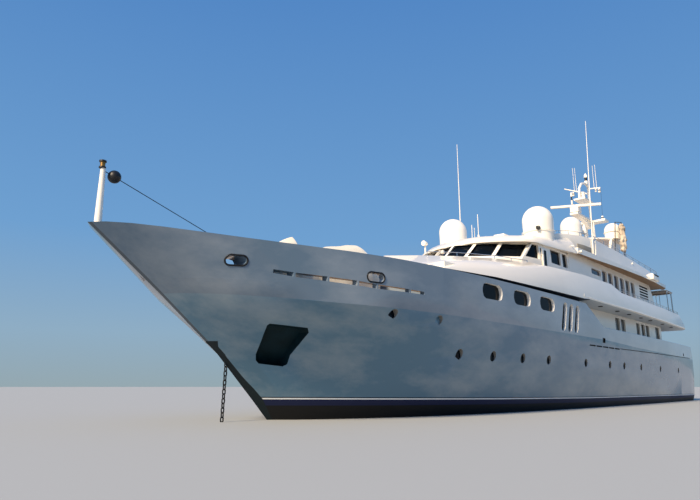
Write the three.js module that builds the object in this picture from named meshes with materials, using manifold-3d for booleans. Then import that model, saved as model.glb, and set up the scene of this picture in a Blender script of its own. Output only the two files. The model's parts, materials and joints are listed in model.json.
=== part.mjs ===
// A long motor yacht afloat, modelled in ship millimetres and shown as a 1:2 scale model.
// +X is forward, +Y is port and +Z is up. The origin is amidships, on the centreline, at the waterline.
import * as THREE from "three";
import { mergeVertices } from "three/addons/utils/BufferGeometryUtils.js";
import Module from "manifold-3d";

const wasm = await Module();
wasm.setup();

// Driving dimensions, in ship millimetres. Fore and aft places are given as millimetres aft of the bow tip.
const MODEL_SCALE = 1 / 2;
const BOW_X = 25000;
const SEAT_GAP = 0.6;
const FOREDECK_Z = 4050;
const FOREDECK_START = 1700;
const FOREDECK_END = 10900;
const SHEER_Z = 5200;
const BULWARK_THICKNESS = 170;
const MAIN_DECK_Z = 3050;
const MAIN_DECK_START = 24200;
const AFT_BULWARK_Z = 4150;
const STERN_BULWARK_Z = 4200;
const MAIN_DECK_END = 48200;
const STEP_TOP = 23700;
const STEP_FOOT = 26100;
const UPPER_DECK_Z = 5650;
const UPPER_DECK_UNDERSIDE = 5450;
const RIM_THICKNESS = 130;
const SUN_DECK_Z = 8560;
const SUN_DECK_UNDERSIDE = 8370;
const HOUSE_WALL = 110;
const GLASS_THICKNESS = 40;
const MAIN_SALOON = { start: 24300, end: 42400, half: 3450 };
const WHEELHOUSE_END = 24950;
const SKY_LOUNGE = { start: WHEELHOUSE_END + SEAT_GAP, end: 40400, half: 3480 };
const SHAFT_Y = 1750;
const DOME_SIDES = 20;
// Places beyond the ship on every side, where cutting tools end.
const BEYOND = { fore: -1000, aft: 52000, side: 6000, under: -4000, over: 8000 };

const group = new THREE.Group();
group.scale.setScalar(MODEL_SCALE);

const fromBow = (aft) => BOW_X - aft;

// Smooth curve through a short list of [place, value] pairs, with no overshoot between them.
function curveThrough(pairs) {
  const slope = pairs.slice(1).map(([s, v], i) => (v - pairs[i][1]) / (s - pairs[i][0]));
  const tangent = pairs.map((_, i) => {
    if (i === 0) return slope[0];
    if (i === pairs.length - 1) return slope[i - 1];
    const product = slope[i - 1] * slope[i];
    return product <= 0 ? 0 : (2 * product) / (slope[i - 1] + slope[i]);
  });
  return (place) => {
    const last = pairs.length - 1;
    if (place <= pairs[0][0]) return pairs[0][1];
    if (place >= pairs[last][0]) return pairs[last][1];
    const i = pairs.findIndex(([s], k) => k < last && place <= pairs[k + 1][0]);
    const span = pairs[i + 1][0] - pairs[i][0];
    const t = (place - pairs[i][0]) / span;
    const u = 1 - t;
    return (
      pairs[i][1] * (1 + 2 * t) * u * u +
      tangent[i] * span * t * u * u +
      pairs[i + 1][1] * t * t * (3 - 2 * t) -
      tangent[i + 1] * span * t * t * u
    );
  };
}

function solidFrom(geometry) {
  const bare = geometry.index ? geometry.toNonIndexed() : geometry.clone();
  bare.deleteAttribute("normal");
  bare.deleteAttribute("uv");
  const merged = mergeVertices(bare, 0.05);
  const corners = merged.index.array;
  const kept = [];
  for (let i = 0; i < corners.length; i += 3) {
    const [a, b, c] = [corners[i], corners[i + 1], corners[i + 2]];
    if (a !== b && b !== c && a !== c) kept.push(a, b, c);
  }
  const mesh = new wasm.Mesh({
    numProp: 3,
    vertProperties: merged.attributes.position.array,
    triVerts: new Uint32Array(kept),
  });
  return new wasm.Manifold(mesh);
}

function geometryFrom(solid) {
  const mesh = solid.getMesh();
  const geometry = new THREE.BufferGeometry();
  geometry.setAttribute("position", new THREE.BufferAttribute(new Float32Array(mesh.vertProperties), 3));
  geometry.setIndex(new THREE.BufferAttribute(new Uint32Array(mesh.triVerts), 1));
  return geometry;
}

const join = (...solids) => solids.flat().reduce((whole, next) => whole.add(next));
const cut = (solid, ...tools) => tools.flat().reduce((left, tool) => left.subtract(tool), solid);

// A closed skin over rings of equally many points. The ends are capped by fans, or by level strips
// from side to side where each ring runs up the port side and down the starboard side.
function skin(rings, levelCaps = false) {
  const points = rings.flat();
  const count = rings[0].length;
  const triangles = [];
  for (let r = 0; r + 1 < rings.length; r++) {
    for (let i = 0; i < count; i++) {
      const a = r * count + i;
      const b = r * count + ((i + 1) % count);
      triangles.push(a, b, b + count, a, b + count, a + count);
    }
  }
  [0, rings.length - 1].forEach((r) => {
    if (levelCaps) {
      for (let i = 0; i + 1 < count - i; i++) {
        const corners = [i, i + 1, count - i - 1, (count - i) % count].map((k) => r * count + k);
        const [a, b, c, d] = r === 0 ? corners.reverse() : corners;
        triangles.push(a, b, c, a, c, d);
      }
      return;
    }
    const middle = points.length;
    points.push([0, 1, 2].map((axis) => rings[r].reduce((sum, p) => sum + p[axis], 0) / count));
    for (let i = 0; i < count; i++) {
      const a = r * count + i;
      const b = r * count + ((i + 1) % count);
      triangles.push(...(r === 0 ? [middle, b, a] : [middle, a, b]));
    }
  });
  const geometry = new THREE.BufferGeometry();
  geometry.setAttribute("position", new THREE.Float32BufferAttribute(points.flat(), 3));
  geometry.setIndex(triangles);
  const solid = solidFrom(geometry);
  if (solid.volume() > 0) return solid;
  geometry.setIndex(triangles.reverse());
  return solidFrom(geometry);
}

// An upright slab over a plan outline of [aft, half breadth] pairs, mirrored to both sides.
function deckSlab(outline, low, high) {
  const port = outline.map(([aft, half]) => [fromBow(aft), half]);
  const starboard = [...port].reverse().filter(([, half]) => half > 1).map(([x, half]) => [x, -half]);
  const plan = [...port, ...starboard];
  return skin([low, high].map((z) => plan.map(([x, y]) => [x, y, z])));
}

// A prism over an outline of [aft, height] pairs, between two breadths.
function sidePrism(outline, near, far) {
  return skin([near, far].map((y) => outline.map(([aft, z]) => [fromBow(aft), y, z])));
}

function block(foreAft, aftAft, right, left, low, high) {
  return sidePrism([[foreAft, low], [aftAft, low], [aftAft, high], [foreAft, high]], right, left);
}

function rod(from, to, radius, endRadius = radius, sides = 8) {
  const start = new THREE.Vector3(fromBow(from[0]), from[1], from[2]);
  const end = new THREE.Vector3(fromBow(to[0]), to[1], to[2]);
  const geometry = new THREE.CylinderGeometry(endRadius, radius, start.distanceTo(end), sides);
  const turn = new THREE.Quaternion();
  turn.setFromUnitVectors(new THREE.Vector3(0, 1, 0), end.clone().sub(start).normalize());
  geometry.applyQuaternion(turn);
  const middle = start.add(end).multiplyScalar(0.5);
  geometry.translate(middle.x, middle.y, middle.z);
  return solidFrom(geometry);
}

// A turned solid about an upright axis, from a profile of [radius, height] pairs.
function turned(profile, aft, y, sides) {
  const geometry = new THREE.LatheGeometry(profile.map(([r, z]) => new THREE.Vector2(r, z)), sides);
  geometry.rotateX(Math.PI / 2);
  geometry.translate(fromBow(aft), y, 0);
  const solid = solidFrom(geometry);
  if (solid.volume() > 0) return solid;
  geometry.setIndex([...geometry.index.array].reverse());
  return solidFrom(geometry);
}

// What is left of a piece clear of its carrier, which is moved a seat gap towards the piece.
function seated(piece, carrier, towards) {
  const left = piece.subtract(carrier.translate(towards.map((v) => v * SEAT_GAP)));
  return left.decompose().sort((a, b) => b.volume() - a.volume())[0];
}
const mirrored = (solid) => solid.mirror([0, 1, 0]);
const bothSides = (solid) => [solid, mirrored(solid)];

function finish(colour, roughness, metalness = 0) {
  return { color: colour, roughness, metalness };
}
const WHITE_PAINT = finish(0xf1efe9, 0.25);
const HULL_PAINT = finish(0xe8ebee, 0.22);
const DARK_GLASS = finish(0x10171d, 0.06, 0.1);
const BRONZE = finish(0xa9803f, 0.35, 0.9);
const STAINLESS = finish(0xc9ccce, 0.2, 1);
const GALVANISED = finish(0x5d5f5e, 0.6, 0.7);
const TEAK = finish(0xa5784b, 0.7);
const ANTIFOULING = finish(0x14181c, 0.6);
const GEL_COAT = finish(0xf4efe4, 0.35);
const CANVAS = finish(0xe9e4d8, 0.85);
const TAN_CANVAS = finish(0xc9a87a, 0.9);
const BLACK_PLASTIC = finish(0x15161a, 0.5);

function addPiece(name, solid, look) {
  const material = new THREE.MeshStandardMaterial({
    color: look.color,
    roughness: look.roughness,
    metalness: look.metalness,
  });
  const mesh = new THREE.Mesh(geometryFrom(solid), material);
  mesh.name = name;
  group.add(mesh);
}

// Hull levels from the keel to the bulwark top. Each level runs from the stem to the transom.
// Columns: stem and stern places, then [place, height] pairs and [place, half breadth] pairs.
const LEVELS = [
  { stem: 11500, stern: 48300,
    height: [[11500, -2150], [14500, -2350], [30000, -2350], [40000, -1650], [48300, -700]],
    half: [[11500, 0], [48300, 0]] },
  { stem: 9200, stern: 48350,
    height: [[9200, -1500], [14500, -1950], [30000, -2000], [39000, -1500], [45000, -900], [48350, -620]],
    half: [[9200, 0], [12000, 700], [16000, 1500], [22000, 2200], [30000, 2500], [42000, 2300],
      [48350, 1900]] },
  { stem: 7700, stern: 48500,
    height: [[7700, -800], [14500, -1050], [30000, -1100], [40000, -850], [48500, -430]],
    half: [[7700, 0], [9500, 700], [12000, 1600], [16000, 2450], [22000, 3150], [30000, 3600], [42000, 3600],
      [48500, 3250]] },
  { stem: 6550, stern: 48700,
    height: [[6550, 0], [48700, 0]],
    half: [[6550, 0], [7300, 780], [9000, 1700], [11000, 2400], [13500, 2950], [17000, 3400], [22000, 3720],
      [28000, 3900], [38000, 4000], [48700, 3800]] },
  { stem: 5900, stern: 48850,
    height: [[5900, 650], [12000, 620], [22000, 480], [34000, 400], [48850, 380]],
    half: [[5900, 0], [6700, 830], [8500, 1820], [11000, 2700], [13500, 3230], [17000, 3650], [22000, 3930],
      [28000, 4060], [38000, 4100], [48850, 3880]] },
  { stem: 4450, stern: 49000,
    height: [[4450, 2050], [22000, 2000], [49000, 1900]],
    half: [[4450, 0], [5000, 620], [6500, 1450], [8400, 2500], [11000, 3500], [13500, 3950], [17000, 4250],
      [22000, 4430], [28000, 4480], [38000, 4330], [49000, 4000]] },
  { stem: 2330, stern: 48750,
    height: [[2330, 3690], [4000, 3630], [7000, 3560], [10100, 3550], [14500, 3510], [26000, 3500],
      [32000, 3350], [48750, 3200]],
    half: [[2330, 0], [2650, 700], [3700, 1850], [5800, 3000], [8600, 3900], [13000, 4400], [18000, 4600],
      [28000, 4640], [40000, 4420], [48750, 4080]] },
  { stem: 0, stern: 48450,
    height: [[0, 5380], [3000, 5270], [6000, 5210], [9000, SHEER_Z], [48450, SHEER_Z]],
    half: [[0, 0], [350, 520], [1000, 1020], [2400, 1720], [4000, 2400], [5800, 3130], [8000, 3820],
      [10300, 4200], [14600, 4530], [20000, 4650], [30000, 4650], [40000, 4430], [48450, 4080]] },
].map(({ stem, stern, height, half }) => ({
  stem,
  stern,
  height: curveThrough(height),
  half: curveThrough(half),
}));
// Fractions of each level's length, closer together where the bow and the transom corners turn.
const STATIONS = [0, 0.006, 0.016, 0.03, 0.05, 0.075, 0.105, 0.14, 0.18, 0.225, 0.28, 0.34, 0.41, 0.49,
  0.58, 0.68, 0.78, 0.88, 0.955, 0.99, 0.9945, 0.9975, 0.9993, 1];
const TRANSOM_CORNER = 420;

function hullRing(fraction) {
  const port = LEVELS.map((level) => {
    const aft = level.stem + (level.stern - level.stem) * fraction;
    const reach = Math.max(0, TRANSOM_CORNER - (level.stern - aft));
    const tuck = TRANSOM_CORNER - Math.sqrt(TRANSOM_CORNER ** 2 - reach ** 2);
    return [fromBow(aft), Math.max(0, level.half(aft) - tuck), level.height(aft)];
  });
  const starboard = port.slice(1).reverse().map(([x, y, z]) => [x, -y, z]);
  return [...port, ...starboard];
}

// Plan outline inside the bulwarks, between two places.
const sheerHalf = LEVELS[LEVELS.length - 1].half;
function insideOutline(start, end, steps, inset) {
  const outline = [];
  for (let i = 0; i <= steps; i++) {
    const aft = start + ((end - start) * i) / steps;
    outline.push([aft, Math.min(sheerHalf(aft), LEVELS[6].half(aft)) - inset]);
  }
  return outline;
}

// The hull side's half breadth at a place and height.
function sideAt(aft, z) {
  const over = LEVELS.findIndex((level) => level.height(aft) >= z);
  const [lower, upper] = [LEVELS[over - 1], LEVELS[over]];
  const t = (z - lower.height(aft)) / (upper.height(aft) - lower.height(aft));
  return lower.half(aft) * (1 - t) + upper.half(aft) * t;
}

// Big rounded windows of the full-beam forward house: [fore edge, aft edge].
const BIG_WINDOWS = [[13340, 14810], [15750, 17220], [18170, 19660]];
const BIG_WINDOW_Z = [4370, 4980];
const WINDOW_RECESS = 220;
// Tall slots abreast of the side passage, raked aft: fore edge of each at mid height.
const TALL_SLOTS = [20520, 21300, 22080];
const TALL_SLOT = { width: 460, low: 3580, high: 4970, rake: 0.316 };
// Rounded fairleads through the bulwark: [middle, height, half length, half height].
const FAIRLEADS = [[3440, 4585, 272, 130], [7765, 4480, 318, 142]];
// Long freeing slot at the foredeck edge, in openings between thin uprights: [fore end, aft end].
const FREEING_SLOTS = [[4450, 5030], [5090, 6070], [6130, 7050], [7110, 7790], [7850, 9170], [9230, 9900]];
const FREEING_SLOT_Z = {
  low: curveThrough([[4450, 4310], [5100, 4240], [6760, 4170], [7880, 4120], [9900, 4120]]),
  high: curveThrough([[4450, 4420], [5100, 4370], [6760, 4320], [7880, 4260], [9900, 4220]]),
};
// Anchor pocket outline: [aft, height].
const ANCHOR_POCKET = [[5020, 2920], [6140, 2840], [6280, 2710], [6280, 1760], [6170, 1690], [5480, 1770],
  [5370, 1870], [5160, 2460], [4990, 2870]];
const ANCHOR_POCKET_DEPTH = 420;

function roundedOutline(start, end, low, high, corner) {
  const centres = [[end - corner, high - corner, 0], [start + corner, high - corner, 1],
    [start + corner, low + corner, 2], [end - corner, low + corner, 3]];
  return centres.flatMap(([aft, z, quarter]) =>
    [0, 1, 2].map((step) => {
      const angle = (Math.PI / 2) * (quarter + step / 2);
      return [aft + corner * Math.cos(angle), z + corner * Math.sin(angle)];
    }),
  );
}

const GARAGE = { half: 2300, low: 900, high: 2750, depth: 260, leaf: 90, play: 14 };
const garageBlock = (play) => block(48000, 51000, play - GARAGE.half, GARAGE.half - play,
  GARAGE.low + Math.min(play, SEAT_GAP), GARAGE.high - play);
const RUDDER = { stock: 47100, boss: -900, top: -1000, low: -2450 };
// Stabiliser fins stand out from the bilge at 45 degrees.
const FIN = { aft: 26500, y: 2990, z: -1630 };
const finPoint = (out, along = 0, lift = 0) => [FIN.aft + along, FIN.y + (out + lift) * Math.SQRT1_2,
  FIN.z + (lift - out) * Math.SQRT1_2];
const HULL_FORM = skin(STATIONS.map(hullRing), true);
const THRUSTER = { aft: 11800, z: -900, radius: 330 };

const HATCH = { aft: 4600, half: 380, rim: FOREDECK_Z + 120, lid: 45 };
const SKEG = sidePrism([[30500, -2200], [43800, -900], [43800, -2500], [42500, -2800], [31500, -2800]],
  -90, 90);
// Narrow ledge round the stern quarter, just above the water.
const STERN_LEDGE = deckSlab([[43300, 3850], [43800, 4060], [47600, 4000], [48300, 3850], [48500, 3500]],
  330, 500);

function makeHull() {
  const aboveAftBulwark = sidePrism(
    [[STEP_TOP, BEYOND.over], [STEP_TOP, SHEER_Z], [STEP_FOOT, AFT_BULWARK_Z], [BEYOND.aft, STERN_BULWARK_Z],
      [BEYOND.aft, BEYOND.over]],
    -BEYOND.side, BEYOND.side);
  const foredeckPlan = insideOutline(FOREDECK_START, FOREDECK_END, 7, BULWARK_THICKNESS);
  const foredeckWell = deckSlab(foredeckPlan, FOREDECK_Z, BEYOND.over);
  const aftDeckPlan = insideOutline(MAIN_DECK_START, MAIN_DECK_END, 5, BULWARK_THICKNESS);
  const aftWell = deckSlab(aftDeckPlan, MAIN_DECK_Z, BEYOND.over);
  let hull = cut(HULL_FORM, aboveAftBulwark, foredeckWell, aftWell);
  BIG_WINDOWS.forEach(([start, end]) => {
    const outline = roundedOutline(start, end, ...BIG_WINDOW_Z, 240);
    const middle = sheerHalf((start + end) / 2);
    hull = cut(hull, bothSides(sidePrism(outline, middle - WINDOW_RECESS, BEYOND.side)));
  });
  TALL_SLOTS.forEach((start) => {
    const { width, low, high, rake } = TALL_SLOT;
    const upright = roundedOutline(start, start + width, low, high, width * 0.45);
    const outline = upright.map(([aft, z]) => [aft + (z - (low + high) / 2) * rake, z]);
    hull = cut(hull, bothSides(sidePrism(outline, sheerHalf(start) - WINDOW_RECESS, BEYOND.side)));
  });
  FAIRLEADS.forEach(([aft, z, halfLength, halfHeight]) => {
    const outline = roundedOutline(aft - halfLength, aft + halfLength, z - halfHeight, z + halfHeight,
      halfHeight * 0.98);
    hull = cut(hull, bothSides(sidePrism(outline, 600, BEYOND.side)));
  });
  FREEING_SLOTS.forEach(([start, end]) => {
    const { low, high } = FREEING_SLOT_Z;
    const outline = [[start, low(start)], [end, low(end)], [end, high(end)], [start, high(start)]];
    hull = cut(hull, bothSides(sidePrism(outline, 1200, BEYOND.side)));
  });
  const pocket = skin([-ANCHOR_POCKET_DEPTH, 800].map((reach) =>
    ANCHOR_POCKET.map(([aft, z]) => [fromBow(aft), sideAt(aft, z) + reach, z])));
  hull = cut(hull, bothSides(pocket));
  const { aft, z, radius } = THRUSTER;
  hull = cut(hull, rod([aft, -BEYOND.side, z], [aft, BEYOND.side, z], radius, radius, 12));
  const garageRecess = garageBlock(0).subtract(HULL_FORM.translate([GARAGE.depth, 0, 0]));
  hull = cut(hull, garageRecess);
  const rudderBoss = rod([RUDDER.stock, SHAFT_Y, 0], [RUDDER.stock, SHAFT_Y, RUDDER.boss], 110, 110, 12);
  const finBoss = rod(finPoint(-600), finPoint(-40), 120, 120, 12);
  return join(hull, SKEG, STERN_LEDGE, bothSides(rudderBoss), bothSides(finBoss));
}
// The hull up to the main deck, and the topsides above it: forecastle and full-beam house, then the bulwarks.
const wholeHull = makeHull();
const lengthwise = (fore, aft, low, high) => block(fore, aft, -BEYOND.side, BEYOND.side, low, high);
const hullBody = wholeHull.intersect(lengthwise(BEYOND.fore, BEYOND.aft, BEYOND.under, MAIN_DECK_Z));
addPiece("hull", hullBody, HULL_PAINT);
const TOPSIDES_FOOT = MAIN_DECK_Z + SEAT_GAP;
const hatchBlock = (half, low, high) => block(HATCH.aft - half, HATCH.aft + half, -half, half, low, high);
const hatchCoaming = cut(hatchBlock(HATCH.half, FOREDECK_Z - 50, HATCH.rim),
  hatchBlock(HATCH.half - 60, FOREDECK_Z - 100, BEYOND.over));
const topsidesRange = sidePrism([[BEYOND.fore, TOPSIDES_FOOT], [MAIN_DECK_START, TOPSIDES_FOOT],
  [MAIN_DECK_START, BEYOND.over], [FOREDECK_END, BEYOND.over], [FOREDECK_END, FOREDECK_Z],
  [BEYOND.fore, FOREDECK_Z]], -BEYOND.side, BEYOND.side);
addPiece("topsides", join(wholeHull.intersect(topsidesRange), hatchCoaming), HULL_PAINT);
const foreRange = lengthwise(BEYOND.fore, FOREDECK_END - SEAT_GAP, FOREDECK_Z + SEAT_GAP, BEYOND.over);
addPiece("fore_bulwark", wholeHull.intersect(foreRange), HULL_PAINT);
const aftRange = lengthwise(MAIN_DECK_START + SEAT_GAP, BEYOND.aft, TOPSIDES_FOOT, BEYOND.over);
addPiece("aft_bulwark", wholeHull.intersect(aftRange), HULL_PAINT);

// The upper deck tray: bridge coaming forward, bulwark aft.
// Columns: foot place, foot half breadth, foot height, rim place, rim half breadth, rim height.
const UPPER_TRAY = [
  [11250, 0, 5300, 13000, 0, 6600],
  [11000, 2200, 5290, 14000, 1100, 6620],
  [10600, 3500, 5230, 15300, 2250, 6630],
  [11300, 4150, 5250, 16900, 3250, 6640],
  [14500, 4480, 5320, 18700, 3980, 6650],
  [18500, 4650, 5350, 21000, 4350, 6670],
  [23300, 4750, 5400, 24000, 4520, 6750],
  [28300, 4740, 5430, 28300, 4540, 6800],
  [30100, 4720, 5430, 30100, 4530, 6500],
  [40000, 4540, 5430, 40000, 4380, 6530],
  [45900, 4330, 5430, 45000, 4220, 6520],
  [46550, 4050, 5430, 45450, 3950, 6510],
  [46750, 0, 5430, 45650, 0, 6500],
];
const FORE_RIM_ROWS = 3;
const AFT_RIM_ROWS = 2;
function ringFrom(rows) {
  const port = rows.map(([aft, half, z]) => [fromBow(aft), half, z]);
  const starboard = [...port].reverse().filter(([, half]) => half > 1).map(([x, half, z]) => [x, -half, z]);
  return [...port, ...starboard];
}
function makeUpperDeck() {
  const foot = UPPER_TRAY.map((row) => row.slice(0, 3));
  const shoulder = UPPER_TRAY.map(([aft, half, footZ, rimAft, rimHalf, rimZ]) =>
    [aft * 0.72 + rimAft * 0.28, half * 0.86 + rimHalf * 0.14 + 60 * (half > 0), (footZ * 2 + rimZ) / 3]);
  const rim = UPPER_TRAY.map((row) => row.slice(3));
  let deck = skin([ringFrom(foot), ringFrom(shoulder), ringFrom(rim)]);
  const inside = rim.map(([aft, half], i) => {
    const fore = i < FORE_RIM_ROWS;
    const astern = i >= rim.length - AFT_RIM_ROWS;
    const shift = (fore ? RIM_THICKNESS : 0) - (astern ? RIM_THICKNESS : 0);
    return [aft + shift, Math.max(0, half - RIM_THICKNESS * (half > 0))];
  });
  deck = cut(deck, deckSlab(inside, UPPER_DECK_Z, 7500));
  deck = cut(deck, lengthwise(MAIN_DECK_START - 200, BEYOND.aft, MAIN_DECK_Z, UPPER_DECK_UNDERSIDE));
  const plinthPlan = insideOutline(FOREDECK_END + 700, MAIN_DECK_START - 250, 5, 420);
  const plinth = deckSlab(plinthPlan, SHEER_Z + SEAT_GAP, UPPER_DECK_Z - 50);
  return join(deck, plinth);
}
addPiece("upper_deck", makeUpperDeck(), WHITE_PAINT);

// Main saloon: a straight-sided house with windows cut through its sides.
const boxRows = (start, end, half) => [[start, 0], [start, half], [end, half], [end, 0]];
function boxHouse({ start, end, half }, low, high) {
  const outer = deckSlab(boxRows(start, end, half), low, high);
  const inside = boxRows(start + HOUSE_WALL, end - HOUSE_WALL, half - HOUSE_WALL);
  return cut(outer, deckSlab(inside, low - 100, high + 100));
}
// A glass band just inside the walls, one piece round the house behind its windows.
function glassBand({ start, end, half }, low, high) {
  const inset = HOUSE_WALL + SEAT_GAP;
  const outer = deckSlab(boxRows(start + inset, end - inset, half - inset), low, high);
  const inner = inset + GLASS_THICKNESS;
  return cut(outer, deckSlab(boxRows(start + inner, end + 500, half - inner), low - 100, high + 100));
}
function cutSideWindows(house, windows, low, high, corner) {
  return windows.reduce((left, [start, end]) =>
    cut(left, bothSides(sidePrism(roundedOutline(start, end, low, high, corner), 2600, 5000))), house);
}
const SALOON_WINDOWS = [[31950, 32820], [33020, 33910], [36250, 37040], [37390, 38210], [38440, 39290]];
const SALOON_SIDE_DOOR = [40800, 41900];
const SALOON_WINDOW_Z = [3950, 5280];
const SIDE_DOOR_Z = [3160, 5330];
const AFT_DOORWAY = { half: 1100, height: 2080 };
const DOOR_LEAF = 60;
const DOOR_PLAY = 20;

function makeSaloon() {
  let house = boxHouse(MAIN_SALOON, MAIN_DECK_Z + SEAT_GAP, UPPER_DECK_UNDERSIDE - SEAT_GAP);
  house = cutSideWindows(house, SALOON_WINDOWS, ...SALOON_WINDOW_Z, 110);
  house = cutSideWindows(house, [SALOON_SIDE_DOOR], ...SIDE_DOOR_Z, 60);
  house = cut(house, block(MAIN_SALOON.end - 500, MAIN_SALOON.end + 500, -AFT_DOORWAY.half, AFT_DOORWAY.half,
    MAIN_DECK_Z + 60, MAIN_DECK_Z + AFT_DOORWAY.height));
  return join(house, doorTrack(MAIN_SALOON.end, MAIN_DECK_Z));
}
addPiece("main_saloon", makeSaloon(), WHITE_PAINT);
addPiece("main_saloon_glass", glassBand({ ...MAIN_SALOON, end: 42000 }, 3100, 5380), DARK_GLASS);

// Overhead track that carries the sliding leaves, on the house's aft wall.
function doorTrack(end, deckZ) {
  const low = deckZ + AFT_DOORWAY.height + 40 + SEAT_GAP;
  return block(end - 20, end + DOOR_PLAY + DOOR_LEAF, -2400, 2400, low, low + 90);
}
// Sliding doors just outside the aft walls of both saloons, one leaf each side.
function slidingLeaf(end, deckZ) {
  const fore = end + DOOR_PLAY;
  const high = deckZ + AFT_DOORWAY.height + 40;
  return block(fore, fore + DOOR_LEAF, DOOR_PLAY, AFT_DOORWAY.half + 60, deckZ + DOOR_PLAY, high);
}
const saloonLeaf = slidingLeaf(MAIN_SALOON.end, MAIN_DECK_Z);
addPiece("saloon_door_port", saloonLeaf, DARK_GLASS);
addPiece("saloon_door_starboard", mirrored(saloonLeaf), DARK_GLASS);

// Sky lounge on the upper deck.
const LOUNGE_WINDOWS = [30200, 31290, 32420, 33570, 34710, 35830].map((start) => [start, start + 860]);
const LOUNGE_FORE_WINDOW = [28400, 30000];
const LOUNGE_FORE_WINDOW_Z = [7580, 7920];
const LOUNGE_WINDOW_Z = [6950, 8030];
const LOUVRE = { start: 37800, end: 39800, low: 7160, pitch: 200, gap: 110, count: 5 };
// Wings that carry each side wall aft past the doors, their aft edges sloping down and aft.
const LOUNGE_WING = [[40100, SUN_DECK_UNDERSIDE - SEAT_GAP], [40300, SUN_DECK_UNDERSIDE - SEAT_GAP],
  [40650, 8060], [41230, 7220], [42300, UPPER_DECK_Z + SEAT_GAP], [40100, UPPER_DECK_Z + SEAT_GAP]];
function makeLounge() {
  let house = boxHouse(SKY_LOUNGE, UPPER_DECK_Z + SEAT_GAP, SUN_DECK_UNDERSIDE - SEAT_GAP);
  house = cutSideWindows(house, LOUNGE_WINDOWS, ...LOUNGE_WINDOW_Z, 110);
  house = cutSideWindows(house, [LOUNGE_FORE_WINDOW], ...LOUNGE_FORE_WINDOW_Z, 80);
  for (let i = 0; i < LOUVRE.count; i++) {
    const low = LOUVRE.low + i * LOUVRE.pitch;
    const slat = block(LOUVRE.start, LOUVRE.end, SKY_LOUNGE.half - 60, BEYOND.side, low, low + LOUVRE.gap);
    house = cut(house, bothSides(slat));
  }
  house = cut(house, block(SKY_LOUNGE.end - 500, SKY_LOUNGE.end + 500, -AFT_DOORWAY.half, AFT_DOORWAY.half,
    UPPER_DECK_Z + 60, UPPER_DECK_Z + AFT_DOORWAY.height));
  const wing = sidePrism(LOUNGE_WING, SKY_LOUNGE.half - HOUSE_WALL, SKY_LOUNGE.half);
  return join(house, doorTrack(SKY_LOUNGE.end, UPPER_DECK_Z), bothSides(wing));
}
addPiece("sky_lounge", makeLounge(), WHITE_PAINT);
addPiece("sky_lounge_glass", glassBand({ ...SKY_LOUNGE, end: 37500 }, 6800, 8200), DARK_GLASS);
const loungeLeaf = slidingLeaf(SKY_LOUNGE.end, UPPER_DECK_Z);
addPiece("lounge_door_port", loungeLeaf, DARK_GLASS);
addPiece("lounge_door_starboard", mirrored(loungeLeaf), DARK_GLASS);

// Wheelhouse: rounded front in flat panes that lean aft.
// Columns: place aft and half breadth at the sill, then the same at the head.
const WHEELHOUSE_SILL_Z = 7150;
const WHEELHOUSE_HEAD_Z = 8150;
const WHEELHOUSE = [
  [17650, 0, 18800, 0],
  [17950, 1050, 19180, 1050],
  [18780, 2080, 19850, 2120],
  [19880, 3120, 21000, 3080],
  [21380, 3420, 21420, 3320],
  [WHEELHOUSE_END, 3480, WHEELHOUSE_END, 3440],
  [WHEELHOUSE_END, 0, WHEELHOUSE_END, 0],
];
const WHEELHOUSE_AFT_ROWS = 2;
const WHEELHOUSE_WALL = 120;
function wheelhouseRing(z, inset) {
  const t = Math.max(0, (z - WHEELHOUSE_SILL_Z) / (WHEELHOUSE_HEAD_Z - WHEELHOUSE_SILL_Z));
  return ringFrom(WHEELHOUSE.map(([sillAft, sillHalf, headAft, headHalf], i) => {
    const aft = sillAft + (headAft - sillAft) * t;
    const half = sillHalf + (headHalf - sillHalf) * t;
    const shift = i < WHEELHOUSE.length - WHEELHOUSE_AFT_ROWS ? inset * 1.3 : -inset;
    return [aft + shift, half > 0 ? half - inset * 0.75 : 0, z];
  }));
}
// A prism through one pane of the front, between fractions along and up the pane.
function paneCut(i, side, from, to, low, high) {
  const corner = (row, along, z) => {
    const t = (z - WHEELHOUSE_SILL_Z) / (WHEELHOUSE_HEAD_Z - WHEELHOUSE_SILL_Z);
    const at = (r) => [WHEELHOUSE[r][0] + (WHEELHOUSE[r][2] - WHEELHOUSE[r][0]) * t,
      WHEELHOUSE[r][1] + (WHEELHOUSE[r][3] - WHEELHOUSE[r][1]) * t];
    const [a, b] = [at(row), at(row + 1)];
    return [a[0] + (b[0] - a[0]) * along, a[1] + (b[1] - a[1]) * along, z];
  };
  const corners = [corner(i, from, low), corner(i, to, low), corner(i, to, high), corner(i, from, high)];
  const run = [corners[1][0] - corners[0][0], corners[1][1] - corners[0][1]];
  const length = Math.hypot(...run);
  const outward = [-run[1] / length, run[0] / length];
  const sheet = (reach) => corners.map(([aft, half, z]) =>
    [fromBow(aft + outward[0] * reach), side * (half + outward[1] * reach), z]);
  return skin([sheet(-420), sheet(300)]);
}
const DOOR_HINGE = { aft: 21530, y: 3480, low: UPPER_DECK_Z + 300, high: UPPER_DECK_Z + 1900 };
const WHEELHOUSE_DOOR = { start: 21550, end: 22260, low: 60, height: 2280 };
// Panes: table row, from and to along the row, lower and upper edge heights.
const WHEELHOUSE_PANES = [
  [0, 0.06, 0.93, 7260, 8045],
  [1, 0.07, 0.93, 7260, 8045],
  [2, 0.07, 0.94, 7260, 8045],
  [3, 0.1, 0.96, 7310, 8045],
  [4, 0.367, 0.706, 7330, 8050],
  [4, 0.776, 0.95, 7330, 8050],
];
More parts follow.
